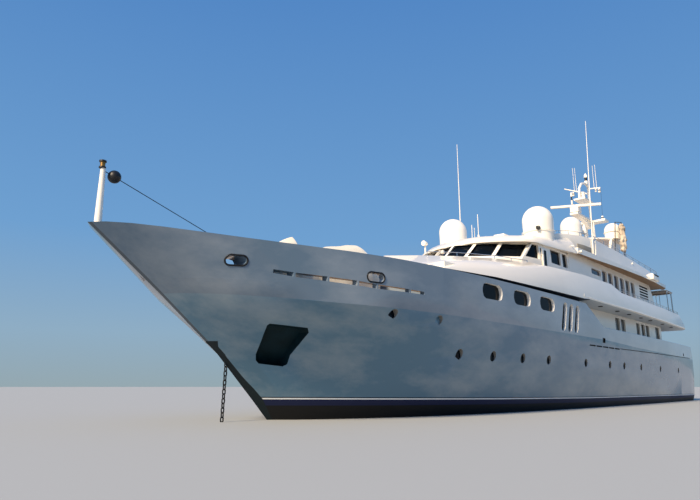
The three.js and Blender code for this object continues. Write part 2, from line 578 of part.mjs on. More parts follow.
// The solid inside the wheelhouse's outer faces, drawn in by an inset and cut to a range of heights.
function wheelhouseBody(inset, low, high) {
  const heights = [UPPER_DECK_Z - 500, WHEELHOUSE_SILL_Z, WHEELHOUSE_HEAD_Z + 500];
  const body = skin(heights.map((z) => wheelhouseRing(z, inset)));
  return body.intersect(block(15000, 27000, -5000, 5000, low, high));
}
function makeWheelhouse() {
  const floor = UPPER_DECK_Z + SEAT_GAP;
  let house = cut(wheelhouseBody(0, floor, WHEELHOUSE_HEAD_Z),
    wheelhouseBody(WHEELHOUSE_WALL, floor - 50, WHEELHOUSE_HEAD_Z + 50));
  WHEELHOUSE_PANES.forEach((pane) => {
    [1, -1].forEach((side) => {
      const [row, ...rest] = pane;
      house = cut(house, paneCut(row, side, ...rest));
    });
  });
  const { start, end, low, height } = WHEELHOUSE_DOOR;
  const doorway = block(start, end, 2800, BEYOND.side, UPPER_DECK_Z + low, UPPER_DECK_Z + height);
  const lugs = [DOOR_HINGE.low - 30 - SEAT_GAP, DOOR_HINGE.high + SEAT_GAP].flatMap((z) =>
    bothSides(block(DOOR_HINGE.aft - 22, DOOR_HINGE.aft + 15, 3350, DOOR_HINGE.y + 22, z, z + 30)));
  return join(cut(house, bothSides(doorway)), lugs);
}
addPiece("wheelhouse", makeWheelhouse(), WHITE_PAINT);
function makeWheelhouseGlass() {
  const inset = WHEELHOUSE_WALL + 1.5 * SEAT_GAP;
  const outer = wheelhouseBody(inset, 6960, 8090);
  const inner = wheelhouseBody(inset + 60, 6800, 8250);
  const aftCut = block(24760, 26000, -4000, 4000, 6000, 9000);
  const doorCut = block(WHEELHOUSE_DOOR.start - 60, WHEELHOUSE_DOOR.end + 60, -4000, 4000, 6000, 8000);
  return cut(outer, inner, aftCut, doorCut);
}
addPiece("wheelhouse_glass", makeWheelhouseGlass(), DARK_GLASS);

const DOOR_SIDE = 3396;
const sideDoor = join(
  block(WHEELHOUSE_DOOR.start + DOOR_PLAY, WHEELHOUSE_DOOR.end - DOOR_PLAY, DOOR_SIDE, DOOR_SIDE + 45,
    UPPER_DECK_Z + WHEELHOUSE_DOOR.low + DOOR_PLAY, UPPER_DECK_Z + WHEELHOUSE_DOOR.height - DOOR_PLAY),
  rod([DOOR_HINGE.aft, DOOR_HINGE.y, DOOR_HINGE.low],
    [DOOR_HINGE.aft, DOOR_HINGE.y, DOOR_HINGE.high], 20, 20, 8),
  block(DOOR_HINGE.aft, DOOR_HINGE.aft + 90, DOOR_SIDE + 42, DOOR_HINGE.y + 8, DOOR_HINGE.low,
    DOOR_HINGE.high));
addPiece("wheelhouse_door_port", sideDoor, WHITE_PAINT);
addPiece("wheelhouse_door_starboard", mirrored(sideDoor), WHITE_PAINT);

// Wheelhouse roof: a thin lip round the visor, then a crowned shell.
// Columns: lip place, half breadth, height, then the same for the shoulder and for the crown's edge.
const LIP_HEIGHT = 90;
const WHEELHOUSE_ROOF = [
  [18850, 0, 8080, 19350, 0, 8500, 20600, 0, 8790],
  [18950, 1050, 8080, 19480, 1000, 8500, 20700, 900, 8790],
  [19400, 2150, 8060, 19950, 2050, 8490, 21100, 1750, 8770],
  [20300, 3200, 8070, 20750, 3000, 8480, 21800, 2500, 8770],
  [20950, 3450, 8100, 21400, 3230, 8520, 22500, 2800, 8830],
  [22000, 3500, 8110, 22300, 3330, 8590, 23400, 3000, 8930],
  [23400, 3600, 8150, 23600, 3430, 8680, 24500, 3150, 9050],
  [25400, 3850, 8210, 25400, 3650, 8800, 25400, 3400, 9150],
  [25400, 0, 8210, 25400, 0, 8800, 25400, 0, 9150],
];
function makeWheelhouseRoof() {
  const lip = WHEELHOUSE_ROOF.map((row) => row.slice(0, 3));
  const lipTop = lip.map(([aft, half, z]) => [aft, half, z + LIP_HEIGHT]);
  const shoulder = WHEELHOUSE_ROOF.map((row) => row.slice(3, 6));
  const crown = WHEELHOUSE_ROOF.map((row) => row.slice(6));
  const roof = skin([lip, lipTop, shoulder, crown].map(ringFrom));
  const overLounge = block(WHEELHOUSE_END - 10, 27000, -3700, 3700, 7000, SUN_DECK_UNDERSIDE);
  return cut(roof, wheelhouseBody(-8, 7000, WHEELHOUSE_HEAD_Z + SEAT_GAP), overLounge);
}
// Searchlight on the roof's starboard fore shoulder.
const SEARCHLIGHT = { aft: 20200, y: -2700, z: 8600 };
function makeSearchlight() {
  const { aft, y, z } = SEARCHLIGHT;
  const post = rod([aft, y, z - 400], [aft, y, z + 200], 45);
  const drum = rod([aft - 170, y, z + 270], [aft + 130, y, z + 270], 150, 105, 12);
  return join(post, drum);
}
// Whip aerials beyond the mast, given by their foot and their top.
const whip = (foot, top) => rod(foot, top, 40, 14, 6);
const starboardWhip = whip([23800, -2500, 8600], [23800, -2500, 15900]);
const wheelhouseRoof = join(makeWheelhouseRoof(), makeSearchlight(), starboardWhip);
addPiece("wheelhouse_roof", wheelhouseRoof, WHITE_PAINT);

// Sun deck: a plate over the lounge, and coamings along its sides that start abaft the roof.
// Plate columns: place, half breadth, lower edge height.
const SUN_PLATE = [
  [25400 + SEAT_GAP, 0, 8230],
  [25400 + SEAT_GAP, 3870, 8230],
  [28000, 3950, 8260],
  [32000, 4120, 8320],
  [36000, 4190, 8370],
  [39500, 4200, 8350],
  [42300, 4150, 8310],
  [42900, 3850, 8310],
  [43100, 0, 8310],
];
// Coaming columns: foot place, foot half breadth, top place, top half breadth, top height.
const SUN_COAMING = [
  [28050, 0, 28500, 0, 9540],
  [28050, 3945, 28500, 3860, 9540],
  [32000, 4115, 32000, 3960, 9440],
  [35500, 4180, 35500, 4010, 9280],
  [39500, 4195, 39300, 4030, 9100],
  [42300, 4145, 41200, 4000, 8680],
  [42300, 0, 41200, 0, 8680],
];
const SUN_COAMING_THICKNESS = 130;
function makeSunDeck() {
  const underside = ringFrom(SUN_PLATE);
  const plate = skin([underside, underside.map(([x, y]) => [x, y, SUN_DECK_Z])]);
  const coamingFoot = SUN_COAMING.map(([aft, half]) => [aft, half, SUN_DECK_Z - 20]);
  const coamingTop = SUN_COAMING.map((row) => row.slice(2));
  const coaming = skin([ringFrom(coamingFoot), ringFrom(coamingTop)]);
  const aheadOfCoaming = SUN_COAMING[0][0] - 1000;
  const abaftCoaming = SUN_COAMING[SUN_COAMING.length - 1][0] + 1700;
  const insideHalves = coamingTop.slice(1, -1).map(([aft, half]) => [aft, half - SUN_COAMING_THICKNESS]);
  insideHalves[0][0] = aheadOfCoaming;
  const insidePlan = [[aheadOfCoaming, 0], ...insideHalves, [abaftCoaming, 3800], [abaftCoaming, 0]];
  const inside = deckSlab(insidePlan, SUN_DECK_Z, SUN_DECK_Z + 1500);
  const underLounge = deckSlab(boxRows(WHEELHOUSE_END, abaftCoaming, 3700), 8000, SUN_DECK_UNDERSIDE);
  return cut(join(plate, cut(coaming, inside)), underLounge);
}
const sunDeck = join(makeSunDeck(), whip([27850, 3850, SUN_DECK_Z - 50], [28560, 3900, 17200]));
addPiece("sun_deck", sunDeck, WHITE_PAINT);

// Hardtop carried on two raked legs above the sun deck.
const HARDTOP = { low: 11550, high: 11680, legNear: 1880, legFar: 2060 };
const HARDTOP_PLAN = [[35600, 0], [36550, 1220], [37000, 1740], [38050, 2250], [38900, 2350], [40200, 2100],
  [41000, 1400], [41200, 0]];
function makeHardtop() {
  const roof = deckSlab(HARDTOP_PLAN, HARDTOP.low, HARDTOP.high);
  const legOutline = [[36000, SUN_DECK_Z + SEAT_GAP], [38300, SUN_DECK_Z + SEAT_GAP],
    [39400, HARDTOP.low + 50], [37500, HARDTOP.low + 50]];
  const leg = sidePrism(legOutline, HARDTOP.legNear, HARDTOP.legFar);
  return join(roof, bothSides(leg));
}
addPiece("hardtop", makeHardtop(), WHITE_PAINT);

// Mast on the hardtop: two legs, a T-shaped platform with the radar's housing on its fore arm,
// a column with an upper platform, an arch over it, and the signal booms with their aerials.
const MAST = { legs: 39200, column: 39600, platform: 13600, top: 16500 };
const SCANNER = { aft: 36500, low: 14240, high: 14400, halfLength: 1780, halfWidth: 95,
  along: [0.416, 0.909] };
function makeMast() {
  const foot = HARDTOP.high + SEAT_GAP;
  const base = block(MAST.legs - 350, MAST.legs + 350, -480, 480, foot, foot + 100);
  const legs = bothSides(rod([MAST.legs, 290, foot + 50], [MAST.legs, 260, MAST.platform + 50], 105, 95, 10));
  const crosspiece = block(MAST.column - 250, MAST.column + 600, -1150, 1150, MAST.platform,
    MAST.platform + 150);
  const foreArm = block(36050, MAST.column, -300, 300, MAST.platform - 40, MAST.platform + 110);
  const gusset = sidePrism([[37300, MAST.platform], [39200, MAST.platform], [39200, 13050], [38600, 13150]],
    -150, 150);
  const housing = join(
    rod([SCANNER.aft, 0, MAST.platform + 100], [SCANNER.aft, 0, MAST.platform + 220], 330, 300, 14),
    block(SCANNER.aft - 330, SCANNER.aft + 330, -300, 300, MAST.platform + 200, SCANNER.low - 60));
  const column = rod([MAST.column, 0, MAST.platform + 100], [MAST.column, 0, MAST.top], 90, 75, 10);
  const upperPlatform = block(37450, MAST.column, -430, 430, 15060, 15180);
  const drum = rod([38050, 0, 15150], [38050, 0, 15750], 280, 260, 14);
  const arch = [[37560, 15150], [37600, 15950], [38100, 16480], [38930, 16750], [39500, 16700],
    [39780, 16300], [39640, 15700]];
  const archRods = arch.slice(1).map(([aft, z], i) => rod([arch[i][0], 0, arch[i][1]], [aft, 0, z], 55));
  const starboardBoom = rod([MAST.column, 0, 16030], [MAST.column, -1870, 16860], 60, 40);
  const portBoom = rod([MAST.column, 0, 16450], [MAST.column, 970, 16350], 60, 45);
  const aerialRows = [[-1080, 16500, 18490], [-910, 16430, 18450], [490, 16380, 18300], [680, 16360, 18340]];
  const aerials = aerialRows.map(([y, low, high]) =>
    rod([MAST.column, y, low], [MAST.column, y, high], 20, 14, 6));
  const topPole = rod([39310, 0, 16700], [39310, 0, 17600], 50, 35);
  const booms = [starboardBoom, portBoom];
  return join(base, legs, crosspiece, foreArm, gusset, housing, column, upperPlatform, drum, archRods,
    booms, aerials, topPole);
}
addPiece("mast", makeMast(), WHITE_PAINT);
function makeScanner() {
  const [cosine, sine] = SCANNER.along;
  const { halfLength, halfWidth } = SCANNER;
  const plan = [[halfLength, halfWidth], [-halfLength, halfWidth], [-halfLength, -halfWidth],
    [halfLength, -halfWidth]];
  const bar = skin([SCANNER.low, SCANNER.high].map((z) => plan.map(([along, across]) =>
    [fromBow(SCANNER.aft) - along * cosine + across * sine, along * sine + across * cosine, z])));
  const hub = rod([SCANNER.aft, 0, SCANNER.low - 60 + SEAT_GAP], [SCANNER.aft, 0, SCANNER.low + 60],
    120, 120, 12);
  return join(hub, bar);
}
addPiece("radar_scanner", makeScanner(), WHITE_PAINT);

// Satellite domes. Columns: name, aft, side, foot height, apex height, radius.
const DOMES = [
  ["dome_fore_port", 23150, 2650, 8600, 10620, 820],
  ["dome_fore_starboard", 23150, -2650, 8600, 10880, 820],
  ["dome_side_port", 27000, 3000, SUN_DECK_Z - 100, 10800, 600],
  ["dome_aft", 38200, 1950, HARDTOP.high + SEAT_GAP, 12950, 575],
];
DOMES.forEach(([name, aft, y, foot, apex, radius]) => {
  const waist = apex - radius;
  const profile = [[0, foot], [radius * 0.94, foot], [radius * 0.985, (foot + waist) / 2], [radius, waist]];
  for (let i = 1; i <= 5; i++) {
    const angle = (Math.PI / 2) * (i / 5);
    profile.push([i === 5 ? 0 : radius * Math.cos(angle), waist + radius * Math.sin(angle)]);
  }
  const carrier = aft < WHEELHOUSE_END ? wheelhouseRoof : sunDeck;
  addPiece(name, seated(turned(profile, aft, y, DOME_SIDES), carrier, [0, 0, 1]), GEL_COAT);
});

// Foredeck gear. A stay runs from the jackstaff's head, through the anchor ball, to the deck.
const STAY = { top: [370, 0, 6900], foot: [9300, 0, FOREDECK_Z + 60], ballAft: 630, ballRadius: 185 };
function makeJackstaff() {
  const staff = rod([300, 0, FOREDECK_Z], [262, 0, 7080], 100, 62, 10);
  const lantern = rod([262, 0, 7060], [262, 0, 7230], 78, 78, 10);
  const stay = rod(STAY.top.map((v, i) => (i === 0 ? v - 60 : v)), STAY.foot, 14, 14, 6);
  const eye = block(9220, 9380, -60, 60, FOREDECK_Z + SEAT_GAP, FOREDECK_Z + 90);
  const along = (STAY.ballAft - STAY.top[0]) / (STAY.foot[0] - STAY.top[0]);
  const ball = new THREE.SphereGeometry(STAY.ballRadius, 14, 10);
  ball.translate(fromBow(STAY.ballAft), 0, STAY.top[2] + (STAY.foot[2] - STAY.top[2]) * along);
  const clearOfBow = block(-500, 1600, -800, 800, 3000, 5380 + SEAT_GAP);
  return cut(join(staff, lantern, stay, eye, solidFrom(ball)), clearOfBow);
}
addPiece("jackstaff", makeJackstaff(), WHITE_PAINT);
const WINDLASS_AFT = 6400;
function makeWindlass() {
  const bed = block(WINDLASS_AFT - 450, WINDLASS_AFT + 450, -700, 700, FOREDECK_Z + SEAT_GAP,
    FOREDECK_Z + 120);
  const drums = bothSides(turned([[0, FOREDECK_Z + 100], [230, FOREDECK_Z + 100], [230, FOREDECK_Z + 260],
    [140, FOREDECK_Z + 380], [170, FOREDECK_Z + 620], [0, FOREDECK_Z + 620]], WINDLASS_AFT, 420, 12));
  return join(bed, drums);
}
addPiece("windlass", makeWindlass(), STAINLESS);
addPiece("foredeck_hatch", hatchBlock(HATCH.half + 10, HATCH.rim + SEAT_GAP, HATCH.rim + HATCH.lid),
  WHITE_PAINT);

// Covered boats on the foredeck. Rows: aft, half breadth, low, high.
function coveredBoat(rows, side) {
  const boat = skin(rows.map(([aft, half, low, high]) => [
    [fromBow(aft), side + half * 0.45, low], [fromBow(aft), side + half, (low * 2 + high) / 3],
    [fromBow(aft), side + half * 0.55, high], [fromBow(aft), side - half * 0.55, high],
    [fromBow(aft), side - half, (low * 2 + high) / 3], [fromBow(aft), side - half * 0.45, low]]));
  return boat.intersect(block(1000, 12000, -5000, 5000, FOREDECK_Z + SEAT_GAP, 8000));
}
const COVERED_TENDER = [[6950, 60, 5000, 5350], [7400, 520, 4400, 5680], [8050, 760, 4000, 5920],
  [9000, 900, 4000, 6150], [9780, 930, 4000, 6340], [10260, 860, 4000, 6140], [10500, 700, 4100, 5600]];
const COVERED_CRAFT = [[3950, 60, 4300, 4650], [4350, 300, 4000, 5000], [5000, 520, 4000, 5340],
  [5800, 540, 4000, 5760], [6050, 500, 4000, 5860], [6110, 480, 4000, 5350], [6700, 420, 4000, 5000]];
addPiece("covered_tender", coveredBoat(COVERED_TENDER, 1000), CANVAS);
addPiece("covered_craft", coveredBoat(COVERED_CRAFT, 1550), CANVAS);

// Underwater gear.
const PROP = { aft: 45600, z: -1720, radius: 620, shaft: 70 };
function makeShaft() {
  const shaft = rod([36500, SHAFT_Y, PROP.z], [PROP.aft - 130 - SEAT_GAP, SHAFT_Y, PROP.z], PROP.shaft,
    PROP.shaft, 10);
  const strut = sidePrism([[44300, -700], [44800, -700], [44900, PROP.z - 60], [44550, PROP.z - 60]],
    SHAFT_Y - 35, SHAFT_Y + 35);
  const boss = rod([44400, SHAFT_Y, PROP.z], [45100, SHAFT_Y, PROP.z], 130, 130, 10);
  return join(shaft, strut, boss);
}
function makePropeller() {
  const hub = rod([PROP.aft - 130, SHAFT_Y, PROP.z], [PROP.aft + 260, SHAFT_Y, PROP.z], 150, 80, 12);
  const blades = Array.from({ length: 4 }, (_, i) => {
    const outline = [[-90, 60], [90, 60], [260, 380], [150, 590], [-40, PROP.radius], [-200, 400]];
    const shape = new THREE.Shape(outline.map(([across, out]) => new THREE.Vector2(across, out)));
    const blade = new THREE.ExtrudeGeometry(shape, { depth: 34, bevelEnabled: false });
    blade.translate(0, 0, -17);
    blade.rotateY(Math.PI / 2 - 0.75);
    blade.rotateX(Math.PI / 2 + (i * Math.PI) / 2);
    blade.translate(fromBow(PROP.aft + 60), SHAFT_Y, PROP.z);
    return solidFrom(blade);
  });
  return join(hub, blades);
}
const clearOfHull = (solid) => seated(solid, hullBody, [0, 0, -1]);
addPiece("shaft_port", clearOfHull(makeShaft()), BRONZE);
addPiece("shaft_starboard", clearOfHull(mirrored(makeShaft())), BRONZE);
const propeller = makePropeller();
addPiece("propeller_port", propeller, BRONZE);
addPiece("propeller_starboard", mirrored(propeller), BRONZE);
function makeRudder() {
  const section = (lead, trail, thick) =>
    [[lead, 0], [-150, thick], [430, 30], [trail, 0], [430, -30], [-150, -thick]];
  const ends = [[RUDDER.top, section(-420, 620, 75)], [RUDDER.low, section(-330, 560, 55)]];
  const blade = skin(ends.map(([z, outline]) =>
    outline.map(([along, y]) => [fromBow(RUDDER.stock + along), SHAFT_Y + y, z])));
  const stock = rod([RUDDER.stock, SHAFT_Y, RUDDER.top - 100],
    [RUDDER.stock, SHAFT_Y, RUDDER.boss - SEAT_GAP], 60, 60, 10);
  return join(blade, stock);
}
addPiece("rudder_port", makeRudder(), ANTIFOULING);
addPiece("rudder_starboard", mirrored(makeRudder()), ANTIFOULING);
function makeFin() {
  const outline = [[-420, 0], [420, 0], [300, 1100], [-150, 1100]];
  const plate = skin([-45, 45].map((lift) => outline.map(([along, out]) => {
    const [aft, y, z] = finPoint(out, along, lift);
    return [fromBow(aft), y, z];
  })));
  return join(plate, rod(finPoint(SEAT_GAP - 40), finPoint(200), 70, 70, 10));
}
addPiece("stabiliser_port", makeFin(), ANTIFOULING);
addPiece("stabiliser_starboard", mirrored(makeFin()), ANTIFOULING);

// Stern: swim platform and garage door.
const platform = deckSlab([[48400, 0], [48400, 3850], [49300, 3700], [49650, 3200], [49750, 0]], 360, 500);
addPiece("swim_platform", seated(platform, hullBody, [-1, 0, 0]), TEAK);
const behindLeaf = HULL_FORM.translate([GARAGE.leaf, 0, 0]);
const garageDoor = HULL_FORM.intersect(garageBlock(GARAGE.play)).subtract(behindLeaf);
addPiece("garage_door", garageDoor, HULL_PAINT);

// Anchor chain hanging from the stem hawse, with its anchor just under the water.
const CHAIN = { aft: 4700, top: 1740, low: -900 };
const chainRod = rod([CHAIN.aft + 100, 0, CHAIN.top], [CHAIN.aft, 0, CHAIN.low], 45);
const anchorShank = rod([CHAIN.aft, 0, CHAIN.low + 20], [CHAIN.aft, 0, CHAIN.low - 900], 55);
const anchorCrown = block(CHAIN.aft - 120, CHAIN.aft + 120, -420, 420, CHAIN.low - 950, CHAIN.low - 780);
const anchorFluke = sidePrism([[CHAIN.aft - 60, CHAIN.low - 900], [CHAIN.aft + 60, CHAIN.low - 900],
  [CHAIN.aft + 30, CHAIN.low - 250], [CHAIN.aft - 30, CHAIN.low - 250]], 300, 380);
const chainAndAnchor = join(chainRod, anchorShank, anchorCrown, bothSides(anchorFluke));
addPiece("anchor_chain", clearOfHull(chainAndAnchor), GALVANISED);

// Awning over the aft upper deck, stretched on a frame of posts and rails.
const AWNING = { start: 43200, end: 46000, half: 3980, low: 8300, high: 8345, pipe: 35 };
const AWNING_PLAN = [[AWNING.start, 0], [AWNING.start, AWNING.half], [45300, 3930], [45850, 3600],
  [AWNING.end, 3100], [AWNING.end, 0]];
// Posts of the port side: [aft, side]. The outriggers reach aft from the after pair's rail.
const AWNING_POSTS = [[43300, 3930], [45000, 3850]];
const OUTRIGGER = { end: 45900, y: 2600 };
addPiece("aft_awning", deckSlab(AWNING_PLAN, AWNING.low, AWNING.high), CANVAS);
function makeAwningFrame() {
  const level = AWNING.low - SEAT_GAP - AWNING.pipe;
  const pipe = (from, to) => rod(from, to, AWNING.pipe);
  const [[foreAft, foreSide], [postAft, postSide]] = AWNING_POSTS;
  const posts = AWNING_POSTS.flatMap(([aft, y]) =>
    bothSides(pipe([aft, y, UPPER_DECK_Z + SEAT_GAP], [aft, y, level])));
  const sideRails = bothSides(pipe([foreAft, foreSide, level], [postAft, postSide, level]));
  const foreRail = pipe([foreAft, -foreSide, level], [foreAft, foreSide, level]);
  const aftRail = pipe([postAft, -postSide, level], [postAft, postSide, level]);
  const outriggers = bothSides(pipe([postAft, OUTRIGGER.y, level], [OUTRIGGER.end, OUTRIGGER.y, level]));
  return join(posts, sideRails, foreRail, aftRail, outriggers);
}
addPiece("awning_frame", makeAwningFrame(), STAINLESS);

// Folded canopy, lashed upright beside the hardtop on its two legs.
// Rows: height, half length, near and far breadth.
const BUNDLE_AFT = 37750;
const BUNDLE = [[10550, 200, 2650, 2830], [10750, 350, 2550, 2950], [11500, 370, 2540, 2980],
  [12300, 360, 2545, 2960], [12600, 280, 2590, 2900], [12690, 140, 2670, 2820]];
const bundle = skin(BUNDLE.map(([z, half, near, far]) => {
  const corners = [[-half, near], [half, near], [half, far], [-half, far]];
  return corners.map(([along, y]) => [fromBow(BUNDLE_AFT + along), y, z]);
}));
const bundleLegs = [-200, 200].map((along) =>
  rod([BUNDLE_AFT + along, 2770, SUN_DECK_Z + SEAT_GAP], [BUNDLE_AFT + along, 2770, 10900], 35));
addPiece("lashed_bundle", join(bundle, bundleLegs), TAN_CANVAS);

export default group;
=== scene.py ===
import json
import math

import bpy
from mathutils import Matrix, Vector, noise

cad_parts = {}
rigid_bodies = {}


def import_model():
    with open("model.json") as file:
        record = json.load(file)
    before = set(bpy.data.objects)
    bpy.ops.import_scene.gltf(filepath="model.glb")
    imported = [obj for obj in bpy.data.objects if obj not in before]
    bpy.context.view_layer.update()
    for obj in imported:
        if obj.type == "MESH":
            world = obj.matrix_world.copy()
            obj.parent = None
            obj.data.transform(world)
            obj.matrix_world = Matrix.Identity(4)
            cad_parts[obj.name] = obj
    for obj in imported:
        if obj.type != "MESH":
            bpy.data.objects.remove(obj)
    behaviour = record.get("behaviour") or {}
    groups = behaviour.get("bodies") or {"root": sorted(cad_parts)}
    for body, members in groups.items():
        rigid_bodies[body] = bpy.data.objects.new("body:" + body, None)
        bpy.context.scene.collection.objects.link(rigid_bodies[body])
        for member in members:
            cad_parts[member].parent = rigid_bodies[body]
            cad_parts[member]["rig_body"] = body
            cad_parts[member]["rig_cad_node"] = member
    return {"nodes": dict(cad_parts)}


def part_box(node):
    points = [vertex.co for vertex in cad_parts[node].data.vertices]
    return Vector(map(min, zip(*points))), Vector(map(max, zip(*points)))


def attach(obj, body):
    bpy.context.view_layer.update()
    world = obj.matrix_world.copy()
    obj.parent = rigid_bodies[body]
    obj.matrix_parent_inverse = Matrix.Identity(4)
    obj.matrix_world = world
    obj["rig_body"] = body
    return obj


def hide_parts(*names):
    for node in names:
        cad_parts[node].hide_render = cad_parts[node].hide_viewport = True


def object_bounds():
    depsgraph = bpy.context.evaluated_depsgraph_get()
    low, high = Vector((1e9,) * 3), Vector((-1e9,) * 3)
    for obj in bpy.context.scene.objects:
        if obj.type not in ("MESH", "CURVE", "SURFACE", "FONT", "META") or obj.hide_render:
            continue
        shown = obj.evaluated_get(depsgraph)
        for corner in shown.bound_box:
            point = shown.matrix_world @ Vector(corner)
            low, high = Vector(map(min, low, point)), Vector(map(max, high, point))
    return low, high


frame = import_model()
cad_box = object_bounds()
nodes = frame["nodes"]
bpy.ops.object.select_all(action="DESELECT")

# The camera stands low off the port bow, as in the photograph, half a metre above the water.
# Its lens takes in the whole ship at 700 by 500, and it looks up so that the horizon lies low.
EYE = Vector((15.98, 7.725, 0.53))
LOOK_ALONG = Vector((-0.753, -0.658, 0))
LOOK_UP = math.radians(12.94)
PHOTO_WIDTH = 700
FOCAL_PIXELS = 595
SENSOR_WIDTH = 36
FARTHEST = 2000
look = LOOK_ALONG.normalized() * math.cos(LOOK_UP) + Vector((0, 0, math.sin(LOOK_UP)))
bpy.ops.object.camera_add(location=EYE, rotation=look.to_track_quat("-Z", "Y").to_euler())
camera = bpy.context.object
camera.data.sensor_width = SENSOR_WIDTH
camera.data.lens = SENSOR_WIDTH * FOCAL_PIXELS / PHOTO_WIDTH
camera.data.clip_end = FARTHEST
bpy.context.scene.camera = camera


# The hull is welded steel, faired with filler and sprayed in glossy polyurethane: pale grey above
# the knuckle and blue grey below it, down to a dark line, a white line, a navy boot-top and black
# antifouling. Over the greys lie painted reflections of dark water and of clouds, and the blue grey
# is partly painted reflection of the water. Painted shade darkens the sharp stem. A dark steel plate
# guards the stem. Topsides and bulwarks are one skin with the hull.
def ship(aft, side, up):
    """A place given in ship metres aft of the bow tip, to port and above the water."""
    return Vector(((25 - aft) / 2, side / 2, up / 2))


def linear(colour):
    """An sRGB hex colour as linear red, green, blue and alpha."""
    parts = [int(colour[i:i + 2], 16) / 255 for i in (1, 3, 5)]
    return [p / 12.92 if p <= 0.04045 else ((p + 0.055) / 1.055) ** 2.4 for p in parts] + [1]


def set_sockets(tree, node, sockets):
    """Sets a node's sockets to values, or links them to outputs or to the first output of other nodes."""
    for socket, value in sockets.items():
        if isinstance(value, bpy.types.Node):
            value = next(output for output in value.outputs if output.enabled)
        if isinstance(value, bpy.types.NodeSocket):
            tree.links.new(value, node.inputs[socket])
        else:
            node.inputs[socket].default_value = value


def put_node(tree, kind, sockets=None, **settings):
    """Adds a node of Blender's type "ShaderNode" + kind, with its settings, and sets its sockets."""
    node = tree.nodes.new("ShaderNode" + kind)
    for name, value in settings.items():
        setattr(node, name, value)
    set_sockets(tree, node, sockets or {})
    return node


def set_tones(ramp, tones):
    """Gives a colour ramp its stops, which are pairs of place and sRGB hex colour in rising order."""
    elements = ramp.color_ramp.elements
    while len(elements) < len(tones):
        elements.new(1.0)
    for element, (position, colour) in zip(elements, tones):
        element.position = position
        element.color = linear(colour)


def new_finish(name):
    """An empty material: its node tree, and its shader."""
    finish = bpy.data.materials.new(name)
    finish.use_nodes = True
    tree = finish.node_tree
    return finish, tree, tree.nodes["Principled BSDF"]


def take(piece):
    """Selects one piece alone and makes it active."""
    bpy.ops.object.select_all(action="DESELECT")
    piece.select_set(True)
    bpy.context.view_layer.objects.active = piece


def joined(pieces):
    """Some pieces made one piece, which keeps the first one's name."""
    take(pieces[0])
    for piece in pieces:
        piece.select_set(True)
    if len(pieces) > 1:
        bpy.ops.object.join()
    return bpy.context.object


def change_mesh(operator, **settings):
    """Runs a mesh operator on all of the active piece."""
    bpy.ops.object.mode_set(mode="EDIT")
    bpy.ops.mesh.select_all(action="SELECT")
    operator(**settings)
    bpy.ops.object.mode_set(mode="OBJECT")


def apply_modifier(piece, kind, **settings):
    """Gives the active piece a modifier with its settings, and applies it."""
    modifier = piece.modifiers.new(kind, kind)
    for name, value in settings.items():
        setattr(modifier, name, value)
    bpy.ops.object.modifier_apply(modifier=modifier.name)


def smooth(piece, degrees=30):
    """Welds what touches and shades the piece smooth except at its sharper edges."""
    take(piece)
    change_mesh(bpy.ops.mesh.remove_doubles, threshold=0.00005)
    bpy.ops.object.shade_smooth_by_angle(angle=math.radians(degrees))


def mount(piece, finish, body="ship"):
    """Gives a finished piece its material and slot, and lets it ride on its body."""
    piece.data.materials.clear()
    piece.data.materials.append(finish)
    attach(piece, body)
    return piece


def soften_edges(piece, width):
    """Rounds the sharp edges of the active piece."""
    apply_modifier(piece, "BEVEL", width=width, segments=2, limit_method="ANGLE",
                   angle_limit=math.radians(50))


def merged_copy(name, *sources, edge=0.0):
    """One welded, smoothly shaded copy of some CAD nodes, with softened edges, which replaces them."""
    copies = []
    for source in sources:
        copy = nodes[source].copy()
        copy.data = nodes[source].data.copy()
        copy.parent = None
        del copy["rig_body"]
        del copy["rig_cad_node"]
        bpy.context.collection.objects.link(copy)
        copies.append(copy)
    piece = joined(copies)
    piece.name = name
    bpy.ops.mesh.customdata_custom_splitnormals_clear()
    smooth(piece)
    if edge:
        soften_edges(piece, edge)
        smooth(piece)
    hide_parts(*sources)
    return piece


def drawn_curve(tree, value, points):
    """What a value gives on a line drawn straight from each of some points to the next."""
    low, high = points[0][0], points[-1][0]
    top = max(height for _, height in points)
    share = put_node(tree, "MapRange", {"Value": value, "From Min": low, "From Max": high})
    node = put_node(tree, "FloatCurve", {"Value": share})
    curve = node.mapping.curves[0]
    curve.points[0].location = (0, points[0][1] / top)
    curve.points[1].location = (1, points[-1][1] / top)
    for place, height in points[1:-1]:
        curve.points.new((place - low) / (high - low), height / top)
    for point in curve.points:
        point.handle_type = "VECTOR"
    node.mapping.update()
    return put_node(tree, "Math", {0: node, 1: top}, operation="MULTIPLY")


UPPER_GREY = "#d0d1cf"
# The darker grey above the knuckle is painted reflection of dark water, strongest at the bow.
UPPER_WATER_REFLECTION = "#5c7082"
# Below the knuckle: a blue grey that is partly painted reflection of dark water, and a paler tone that is
# painted reflection of clouds.
LOWER_BLUE = "#50758b"
LOWER_CLOUD_REFLECTION = "#909da4"
LINE_DARK = "#1c2c3a"
LINE_WHITE = "#f4f4f2"
BOOT_NAVY = "#0e1a40"
ANTIFOULING_BLACK = "#090c10"
GUARD_BLACK = "#0a1c22"
# The stem's darker grey is painted shade on its narrow lit front.
STEM_PAINTED_SHADE = "#44505a"
# Heights of the white line and of the knuckle along the hull.
WHITE_LINE = ((-12, 0.22), (0.1, 0.25), (4.5, 0.285), (7.25, 0.315), (9, 0.335), (10, 0.342))
KNUCKLE = ((-12, 1.6), (-3.5, 1.675), (-0.5, 1.75), (5.25, 1.755), (7.45, 1.775), (9, 1.78), (10.5, 1.815),
           (11.4, 1.85))
KNUCKLE_EDGE = 0.006
# The stripes lie in a band that reaches as far under the white line as over it, as shares of the band.
BAND_REACH = 0.25
STRIPES = ((0.0, ANTIFOULING_BLACK), (0.29, BOOT_NAVY), (0.485, LINE_WHITE), (0.53, LINE_DARK))
STRIPES_TOP = 0.565
